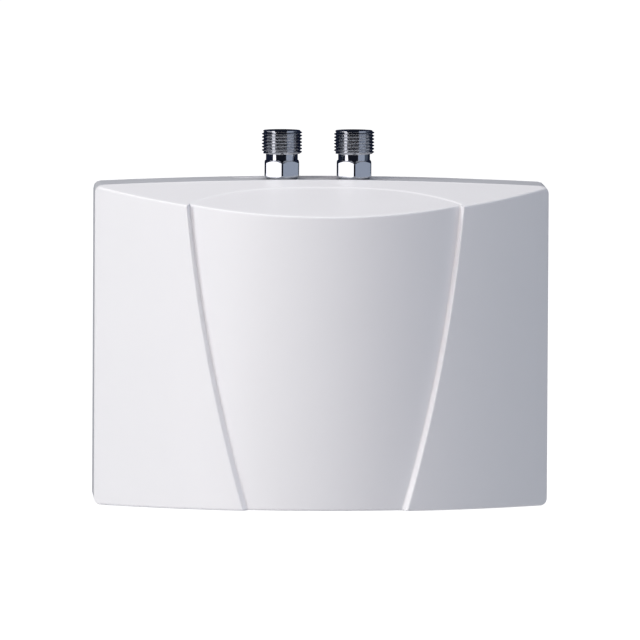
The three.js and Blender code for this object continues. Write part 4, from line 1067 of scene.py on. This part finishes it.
def slotted_screw(reach, shaft, head, head_height, slot_width, slot_depth):
    """A pan-headed screw with a slot and rolled thread."""
    pitch, depth_share, plain, point, shoulder = 0.5, 0.16, 0.8, 0.5, 0.6
    under = reach - head_height
    thread = thread_turns(shaft / 2, plain, under - 2 * plain, pitch, depth_share)
    body = turned([(0, 0), (shaft / 2 - point, 0), *thread, (shaft / 2, under - shoulder), (shaft / 2, under),
                   *eased((head / 2, under, 0.25), (head / 2, reach, 0.55 * head_height)),
                   (head / 6, reach), (0, reach)], 32)
    return carved(body, "DIFFERENCE", block(head * 2, slot_width, slot_depth * 2, (0, 0, reach)))


def earth_terminal(reach):
    """A threaded stud with its nut and washer."""
    radius, pitch, depth_share, point = 2, 0.7, 0.2, 0.4
    thread = thread_turns(radius, point, reach - 2 * point, pitch, depth_share)
    stud = turned([(0, 0), (radius - point, 0), *thread, (radius - point, reach), (0, reach)], 32)
    nut = chamfered_hexagon(6.93, 2.7, 5.9, chamfer=0.35, ease=0.15, bore=1.0, seat=3.2)
    washer = flat_ring(2.1, 3.4, 2.0, 2.7, 0.1, 0.15, 32)
    return joined(stud, nut, washer)


def flow_adjuster(reach):
    """A thick slotted screw with a sealing groove and a notched head."""
    shaft, head, head_height, point, groove = 3.0, 4.5, 3, 2.4, 2.6
    under = reach - head_height
    knob = turned([(0, 0), (point, 0), (shaft, 0.7), (shaft, 5.2), (groove, 5.5), (groove, 6.3), (shaft, 6.6),
                   (shaft, under), *eased((head, under, 0.3), (head, reach, 0.5)), (0, reach)], 48)
    notches = blocks_around(24, TURN, 0.5, 0.5, 2.2, (4.55, 0, reach - 1.1))
    return carved(knob, "DIFFERENCE", block(12, 1.1, 2.6, (0, 0, reach)), *notches)


class HEATER_OT_screws(bpy.types.Operator):
    """Models the slotted screws, the earth stud and the flow adjusting screw"""
    bl_idname = "heater.screws"
    bl_label = "Screws"

    def execute(self, context):
        for group, (count, way) in SCREWS.items():
            sizes = SMALL_SCREW if group == "microswitch" else PLAIN_SCREW
            for i in range(count):
                node = f"{group}_screw_{i + 1}"
                fit(f"{node}_slotted", node, slotted_screw(run_of(node, way), *sizes), way=way)
        for i in range(3):
            node = f"terminal_screw_{i + 1}"
            fit(f"{node}_slotted", node, slotted_screw(run_of(node, "front"), *TERMINAL_SCREW), way="front")
        fit("earth_terminal", "earth_stud", earth_terminal(run_of("earth_stud", "front")), way="front")
        adjuster = flow_adjuster(run_of("flow_screw", "front"))
        fit("flow_adjuster", "flow_screw", adjuster, "flow_screw", "front")
        seal = flat_ring(3.05, 4.7, 0, 1.2, 0.3, 0.35, 40)
        fit("flow_adjuster_seal", "flow_screw_washer", seal, way="front")
        return {"FINISHED"}


# Housing, moulded blocks and small moving parts

# Nodes that keep their solid's shape, with their piece's name
HEAVY_BLOCKS = {
    "heating_block": "heating_chamber", "block_lid": "heating_chamber_lid", "switch_body": "flow_switch_body",
    "switch_cap": "flow_switch_cap", "terminal_block": "terminals", "cable_clamp": "cable_bridge",
}
SMALL_BLOCKS = {
    "thermal_cutout": "cutout_body", "microswitch": "microswitch_case", "block_gasket": "chamber_gasket",
    "switch_membrane": "membrane_rim", "cutout_clamp": "cutout_bracket",
}


def reset_button():
    """A pin with a domed cap."""
    radius = 1.8
    return turned([*eased((0, 0), (radius, 0, 0.15)), (radius, 5.4), (1.65, 6.1), (1.25, 6.9), (0.7, 7.35),
                   (0, 7.5)], 32)


def cable_sleeve():
    """A grommet: a sleeve with a flange on each side of the wall."""
    bore, waist, flange, thickness, wall_end, reach = 4, 5.9, 7.7, 0.9, 3.0, 3.9
    return turned(eased((bore, 0, 0.5), (flange, 0, 0.3), (flange, thickness, 0.3), (waist, thickness, 0.1),
                        (waist, wall_end, 0.1), (flange, wall_end, 0.3), (flange, reach, 0.3),
                        (bore, reach, 0.5)), 48)


def plunger(reach):
    """A disc with a hub and a stem that has a groove near its middle."""
    disc, thickness, hub, stem, groove = 9, 2, 2.6, 2, 1.8
    foot = eased((disc, 0, 0.5), (disc, thickness, 0.5), (hub, thickness, 0.6), (stem, 2.8, 0.4))
    return turned([(0, 0), *foot, (stem, 11), (groove, 11.2), (groove, 11.9), (stem, 12.1),
                   *eased((stem, reach, 0.6)), (0, reach)], 48)


class BlockSizes(bpy.types.PropertyGroup):
    housing_edge: length("Housing edge", "Rounding of the housing's edges", 0.3)
    block_edge: length("Block edge", "Rounding of the moulded blocks' edges", 0.45)
    small_edge: length("Small edge", "Rounding of the small parts' edges", 0.2)


class HEATER_OT_blocks(bpy.types.Operator):
    """Eases the edges of the housing and of the moulded and folded parts inside it"""
    bl_idname = "heater.blocks"
    bl_label = "Housing and Blocks"

    def execute(self, context):
        sizes = context.scene.heater_blocks
        fit("housing_tub", "rear_housing", dressed("rear_housing", sizes.housing_edge / MM))
        for blocks, ease in ((HEAVY_BLOCKS, sizes.block_edge), (SMALL_BLOCKS, sizes.small_edge)):
            for node, name in blocks.items():
                fit(name, node, dressed(node, ease / MM))
        fit("lever_blade", "switch_lever", dressed("switch_lever", 0.08), "lever")
        fit("reset_cap", "reset_button", reset_button(), "reset_button", "front")
        fit("cable_sleeve", "cable_grommet", cable_sleeve(), way="front")
        fit("plunger_stem", "plunger", plunger(run_of("plunger", "up")), "plunger", "up")
        return {"FINISHED"}


# Heating coils, contact pins and plunger spring

COIL_WIRE = 1.16
COIL_TURNS = 7
COIL_STEPS = 8
SPRING_RADIUS = 5
SPRING_STEPS = 28
SPRING_FLAT_TURNS = 0.6


def coil_run(x, low, high):
    """Path of one heating coil, from its right-hand pin down round the bore and up its middle."""
    middle, front, side, radius = 17.0, 4.5, 4.0, 4.6
    lead, foot, tail = 7, 1.9, 1.2
    pin = -middle - front
    top, bottom = high - lead, low + foot
    start = atan2(front, side)
    count = COIL_TURNS * COIL_STEPS
    points = [(x + side, pin, high), (x + side, pin, high - lead / 2)]
    for i in range(count + 1):
        angle = start + TURN * i / COIL_STEPS
        points.append((x + radius * cos(angle), -middle - radius * sin(angle), lerp(top, bottom, i / count)))
    points += [(x, -middle, bottom - tail), (x, -middle, (top + bottom) / 2), (x, -middle, top),
               (x - side, pin, high - lead / 4), (x - side, pin, high)]
    return points


def contact_pin():
    """A brass pin with a collar, a flange on the lid and a grooved top for the wire's clip."""
    point, pin, collar, flange, groove, top = 0.9, 1.2, 1.9, 2.2, 1.05, 0.85
    return turned([
        (0, 0), (point, 0), (pin, 0.4), (pin, 9.2), *eased((collar, 9.3, 0.1), (collar, 10.0, 0.1)),
        *eased((flange, 10.0, 0.15), (flange, 11.0, 0.25)), (pin, 11.0), (pin, 12.2), (groove, 12.35),
        (groove, 12.75), (pin, 12.9), (pin, 14.6), (top, 15.0), (0, 15.0)], 28)


def spring_run(centre, low, high, turns):
    """Path of the plunger spring, whose end turns lie flat."""
    count = int(turns * SPRING_STEPS)
    points = []
    for i in range(count + 1):
        share = i / count
        rise = share
        if turns > 2 * SPRING_FLAT_TURNS:
            rise = smooth((share * turns - SPRING_FLAT_TURNS) / (turns - 2 * SPRING_FLAT_TURNS))
        angle = TURN * turns * share
        points.append((centre.x + SPRING_RADIUS * cos(angle), centre.y + SPRING_RADIUS * sin(angle),
                       lerp(low, high, rise)))
    return points


class WindingSizes(bpy.types.PropertyGroup):
    turns: FloatProperty(name="Spring turns", description="Turns of the plunger spring", default=3.5)
    wire: length("Spring wire", "Wire of the plunger spring", 0.85)


class HEATER_OT_windings(bpy.types.Operator):
    """Winds the two heating coils, their pins and the plunger spring"""
    bl_idname = "heater.windings"
    bl_label = "Coils and Spring"

    def execute(self, context):
        sizes = context.scene.heater_windings
        for number in (1, 2):
            node = f"heating_coil_{number}"
            low, high = corners_of(node)
            run = smooth_run(coil_run((low.x + high.x) / 2, low.z, high.z), 3)
            fit(f"winding_{number}", node, drawn_wire(run, COIL_WIRE, 2))
        for number in range(1, 5):
            fit(f"contact_pin_{number}", f"coil_pin_{number}", contact_pin(), way="up")
        low, high = corners_of("plunger_spring")
        centre = (low + high) / 2
        wire = sizes.wire / MM
        run = spring_run(centre, low.z + wire / 2, high.z - wire / 2, sizes.turns)
        spring = fit("return_spring", "plunger_spring", drawn_wire(run, wire, 3))
        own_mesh(spring)
        return {"FINISHED"}


# Pipes and wires, on the routes of the solids

PIPE_FINENESS = 5
PIPE_DEPTH = 17
FITTING_DEPTH = 14.5
PIPE_LOWER_ENDS = {"inlet": 27.0, "outlet": -51.0}
LEAD_LAYER = 44.0
LEAD_PITCH = 3.4
LEAD_RISE = 6.0
LEAD_TENSION = 0.2
LEAD_STEP = 1.2
UP, OUT = (0, 0, 1), (0, -1, 0)
PIN_DEPTH, PIN_TOP = -21.5, 27.8
TERMINAL_DEPTH, TERMINAL_TOP = -11.0, -25.0
CUTOUT_DEPTH = -40.8
SWITCH_DEPTH, SWITCH_TOP = -17, 49.4

# Each wire's start with the way that it leaves, its end with the way that it leaves, and its layer
WIRES = {
    "live_wire": ((50, TERMINAL_DEPTH, TERMINAL_TOP), UP, (-38, CUTOUT_DEPTH, -22.8), OUT, 0),
    "switched_wire": ((-38, CUTOUT_DEPTH, -13.2), OUT, (51, SWITCH_DEPTH, SWITCH_TOP), UP, 1),
    "coil_wire": ((65, SWITCH_DEPTH, SWITCH_TOP), UP, (-21, PIN_DEPTH, PIN_TOP), UP, 2),
    "coil_link": ((-47, PIN_DEPTH, PIN_TOP), UP, (-29, PIN_DEPTH, PIN_TOP), UP, -4),
    "neutral_wire": ((-55, PIN_DEPTH, PIN_TOP), UP, (61, TERMINAL_DEPTH, TERMINAL_TOP), UP, 3),
    "earth_wire": ((39, TERMINAL_DEPTH, TERMINAL_TOP), UP, (8, -15.3, -30), OUT, -2),
}


def wire_run(start, start_way, end, end_way, layer):
    """Path of a wire that rises from each end, crosses over in its own layer and drops to the other."""
    depth = LEAD_LAYER + LEAD_PITCH * layer
    start, end = Vector(start), Vector(end)
    first = start + Vector(start_way) * LEAD_RISE
    last = end + Vector(end_way) * LEAD_RISE
    points = [start, start.lerp(first, 0.6), first, Vector((first.x, -depth, first.z)),
              Vector((last.x, -depth, last.z)), last, end.lerp(last, 0.6), end]
    padded = [2 * points[0] - points[1], *points, 2 * points[-1] - points[-2]]
    found = []
    for a, b, c, d in zip(padded, padded[1:], padded[2:], padded[3:]):
        count = max(int((c - b).length / LEAD_STEP), 4)
        for i in range(count):
            t = i / count
            leaving, arriving = (c - a) * LEAD_TENSION, (d - b) * LEAD_TENSION
            found.append(b * (2 * t ** 3 - 3 * t ** 2 + 1) + leaving * (t ** 3 - 2 * t ** 2 + t)
                         + c * (3 * t ** 2 - 2 * t ** 3) + arriving * (t ** 3 - t ** 2))
    found.append(end)
    return found


def bent_pipe_run(side):
    """Path of the inlet or outlet pipe, from its block up to its fitting."""
    low, high = corners_of(f"{side}_pipe")
    x = PIPE_LOWER_ENDS[side]
    fitting_low, fitting_high = corners_of(f"{side}_fitting")
    end = (fitting_low.x + fitting_high.x) / 2
    straight = (high.z - low.z) / 3
    middle_depth = (PIPE_DEPTH + FITTING_DEPTH) / 2
    lower = [(x, -PIPE_DEPTH, low.z + rise) for rise in (0, straight / 2, straight)]
    upper = [(end, -FITTING_DEPTH, high.z - drop) for drop in (straight, straight / 2, 0)]
    return [*lower, ((x + end) / 2, -middle_depth, (low.z + high.z) / 2), *upper]


class LeadSizes(bpy.types.PropertyGroup):
    pipe: length("Pipe", "Outside diameter of the water pipes", 8)
    lead: length("Lead", "Diameter of the insulated wires", 2)


class HEATER_OT_leads(bpy.types.Operator):
    """Runs the water pipes, which are solid rods without a bore, and the insulated wires"""
    bl_idname = "heater.leads"
    bl_label = "Pipes and Wires"

    def execute(self, context):
        sizes = context.scene.heater_leads
        outer = sizes.pipe / MM
        for side in PIPE_LOWER_ENDS:
            run = smooth_run(bent_pipe_run(side), 8)
            fit(f"{side}_tube", f"{side}_pipe", drawn_wire(run, outer, PIPE_FINENESS))
        low, high = corners_of("transfer_pipe")
        middle = (low + high) / 2
        run = [(x, middle.y, middle.z) for x in (low.x, middle.x, high.x)]
        fit("transfer_tube", "transfer_pipe", drawn_wire(run, outer, PIPE_FINENESS))
        for node, route in WIRES.items():
            fit(f"{node}_lead", node, drawn_wire(wire_run(*route), sizes.lead / MM, 3))
        return {"FINISHED"}


# Studio

# Sensor in millimetres, and the photograph's width and focal length in pixels
SENSOR = 36
PHOTO_WIDTH = 640
LENS_PIXELS = 14567
BACKDROP = 0.985
FILL_COLOUR = (0.87, 0.903, 1.0)
CARD_REACH = 0.8
CARD_FOOT = -0.31
CARD_TOP = 1.4
BLACK = (0.012, 0.014, 0.022)
DEEP_BLUE = (0.015, 0.02, 0.04)

# Upright cards, each from one angle to another and with its colour, and level ones with their height
CARDS = {
    "front_flag": (-47, 29, BLACK),
    "side_card": (29, 78, (0.44, 0.49, 0.60)),
    "far_card": (78, 112, (0.10, 0.12, 0.16)),
    "bright_card": (-68, -47, (2.1, 2.05, 2.1)),
    "left_flag": (-135, -68, DEEP_BLUE),
    "rear_flag": (112, 225, DEEP_BLUE),
}
DISCS = {"roof_card": CARD_TOP, "table_card": -0.3}

# Lamps: angle to the left of the front, angle above the object, power and colour
LAMP_AWAY = 2.2
LAMP_SIZE = 0.9
LAMPS = {
    "key": (40, 30, 0.62, (1.0, 0.876, 0.856)),
    "side": (65, 30, 0.959, (0.944, 1.0, 0.994)),
    "fill": (-62, 30, 0.25, (0.578, 0.745, 1.0)),
    "top": (0, 78, 1.112, (1.0, 0.963, 0.937)),
}


def studio_floor(name, colour):
    """Pale floor that shows as the white backdrop, and keeps the object's shadow."""
    paint = Paint(name, colour)
    grain = paint.noise(40, detail=3, rough=0.6)
    paint.finish({"Base Color": paint.mix(grain, shade(colour, 1.0), shade(colour, 0.97)), "Roughness": 0.9})
    bright = paint.node("ShaderNodeBsdfPrincipled", {}, {
        "Base Color": (0.5, 0.5, 0.5, 1), "Roughness": 1.0, "Emission Color": (1, 1, 1, 1),
        "Emission Strength": BACKDROP, "Specular IOR Level": 0.0})
    paint.split(Wire(paint, paint.shader.outputs[0]), bright, "Material Output")
    return paint.material


def studio_world(scene, fill):
    """White to the camera and in reflections, a plain pale fill for everything else."""
    scene.world = bpy.data.worlds.new("studio")
    tree = Tree(scene.world)
    background = tree.nodes["Background"]
    tree.set(background, {"Color": (*FILL_COLOUR, 1), "Strength": fill})
    white = tree.node("ShaderNodeBackground", {}, {"Color": (1, 1, 1, 1)})
    tree.split(Wire(tree, background.outputs[0]), white, "World Output")


def hang(name, bm, colour):
    """Makes a card of one even brightness that only the glossy surfaces see."""
    glow = Paint(name, (0, 0, 0)).finish({
        "Emission Color": (*colour, 1), "Emission Strength": 1.0, "Roughness": 1.0,
        "Specular IOR Level": 0.0})
    mesh = mesh_of(name, bm)
    mesh.materials.append(glow)
    card = shown(name, mesh)
    for kind in ("camera", "diffuse", "transmission", "volume_scatter", "shadow"):
        setattr(card, f"visible_{kind}", False)


def upright_card(name, start, end, colour):
    """A curved card that stands round the object."""
    bm = bmesh.new()
    angle = radians(start)
    x, y = CARD_REACH * sin(angle), -CARD_REACH * cos(angle)
    foot, top = [bm.verts.new((x, y, z)) for z in (CARD_FOOT, CARD_TOP)]
    spun(bm, [foot, top], [bm.edges.new((foot, top))], radians(end - start), 24)
    hang(name, bm, colour)


def level_card(name, height):
    """A dark disc above or below the object."""
    bm = bmesh.new()
    bmesh.ops.create_circle(bm, cap_ends=True, segments=32, radius=CARD_REACH * 1.1)
    bmesh.ops.translate(bm, vec=(0, 0, height), verts=bm.verts)
    hang(name, bm, BLACK)


def lamp(name, left, rise, power, colour):
    """A large soft lamp, whose power is for the distance at which it stands."""
    light = bpy.data.lights.new(name, "AREA")
    light.shape = "DISK"
    light.size = LAMP_SIZE
    light.energy = power * 4 * LAMP_AWAY ** 2
    light.color = colour
    holder = shown(name, light)
    holder.visible_glossy = False
    level = LAMP_AWAY * cos(rise)
    holder.location = (-level * sin(left), -level * cos(left), LAMP_AWAY * sin(rise))
    holder.rotation_euler = (-holder.location).to_track_quat("-Z", "Y").to_euler()


def photo_camera(sizes):
    """The camera, at the photograph's viewing angle."""
    data = bpy.data.cameras.new("camera")
    data.sensor_fit = "HORIZONTAL"
    data.sensor_width = SENSOR
    data.lens = sizes.lens
    data.clip_end = 200
    camera = shown("camera", data)
    camera.matrix_world = (
        Matrix.Translation(sizes.camera) @ Matrix.Rotation(-sizes.yaw, 4, "Z")
        @ Matrix.Rotation(pi / 2 - sizes.pitch, 4, "X") @ Matrix.Rotation(sizes.roll, 4, "Z"))
    return camera


class StageSizes(bpy.types.PropertyGroup):
    floor: FloatProperty(name="Floor", description="Height of the studio floor", unit="LENGTH", default=-0.32)
    camera: FloatVectorProperty(name="Camera", description="Place of the camera", subtype="XYZ", size=3,
                                default=(-0.2291, -5.9791, 0.4446))
    yaw: turn("Yaw", "Turn of the camera to the right", 2.20)
    pitch: turn("Pitch", "Tilt of the camera downwards", 4.174)
    roll: turn("Roll", "Roll of the camera", 0.304)
    lens: FloatProperty(name="Lens", description="Focal length in millimetres",
                        default=SENSOR * LENS_PIXELS / PHOTO_WIDTH)
    key: FloatProperty(name="Key light", description="Strength of the lamps", default=0.975)
    fill: FloatProperty(name="Fill light", description="Strength of the light from all around", default=0.17)


class HEATER_OT_stage(bpy.types.Operator):
    """Sets the pale floor, the soft studio light and the camera"""
    bl_idname = "heater.stage"
    bl_label = "Studio"

    def execute(self, context):
        scene = context.scene
        sizes = scene.heater_stage
        bm = bmesh.new()
        bmesh.ops.create_grid(bm, x_segments=8, y_segments=8, size=40.0)
        bmesh.ops.translate(bm, vec=(0, 0, sizes.floor), verts=bm.verts)
        mesh = mesh_of("floor", bm)
        mesh.materials.append(studio_floor("floor", (0.9, 0.9, 0.9)))
        shown("floor", mesh)
        studio_world(scene, sizes.fill)
        for name, card in CARDS.items():
            upright_card(name, *card)
        for name, height in DISCS.items():
            level_card(name, height)
        for name, (left, rise, power, colour) in LAMPS.items():
            lamp(name, radians(left), radians(rise), power * sizes.key, colour)
        scene.camera = photo_camera(sizes)
        scene.view_settings.view_transform = "Standard"
        return {"FINISHED"}


class HEATER_PT_panel(bpy.types.Panel):
    """Shows the heater's sizes and the buttons that make its pieces"""
    bl_idname = "HEATER_PT_panel"
    bl_label = "Water Heater"
    bl_space_type = "VIEW_3D"
    bl_region_type = "UI"
    bl_category = "Heater"

    def draw(self, context):
        for group in (getattr(context.scene, name) for name in GROUPS):
            column = self.layout.column()
            for name in group.bl_rna.properties.keys():
                if name not in ("rna_type", "name"):
                    column.prop(group, name)
        for operator in OPERATORS:
            self.layout.operator(operator.bl_idname)


GROUPS = {
    "heater_cover": CoverSizes, "heater_fittings": FittingSizes, "heater_blocks": BlockSizes,
    "heater_windings": WindingSizes, "heater_leads": LeadSizes, "heater_stage": StageSizes,
}
OPERATORS = (HEATER_OT_cover, HEATER_OT_fittings, HEATER_OT_blocks, HEATER_OT_screws, HEATER_OT_windings,
             HEATER_OT_leads, HEATER_OT_stage)
CLASSES = (*GROUPS.values(), *OPERATORS, HEATER_PT_panel)


def register():
    for kind in CLASSES:
        bpy.utils.register_class(kind)
    for name, kind in GROUPS.items():
        setattr(bpy.types.Scene, name, PointerProperty(type=kind))


def unregister():
    for name in GROUPS:
        delattr(bpy.types.Scene, name)
    for kind in reversed(CLASSES):
        bpy.utils.unregister_class(kind)


def main():
    register()
    bpy.ops.heater.cover()
    bpy.ops.heater.fittings()
    bpy.ops.heater.blocks()
    bpy.ops.heater.screws()
    bpy.ops.heater.windings()
    bpy.ops.heater.leads()
    bpy.ops.heater.stage()


if __name__ == "__main__":
    main()
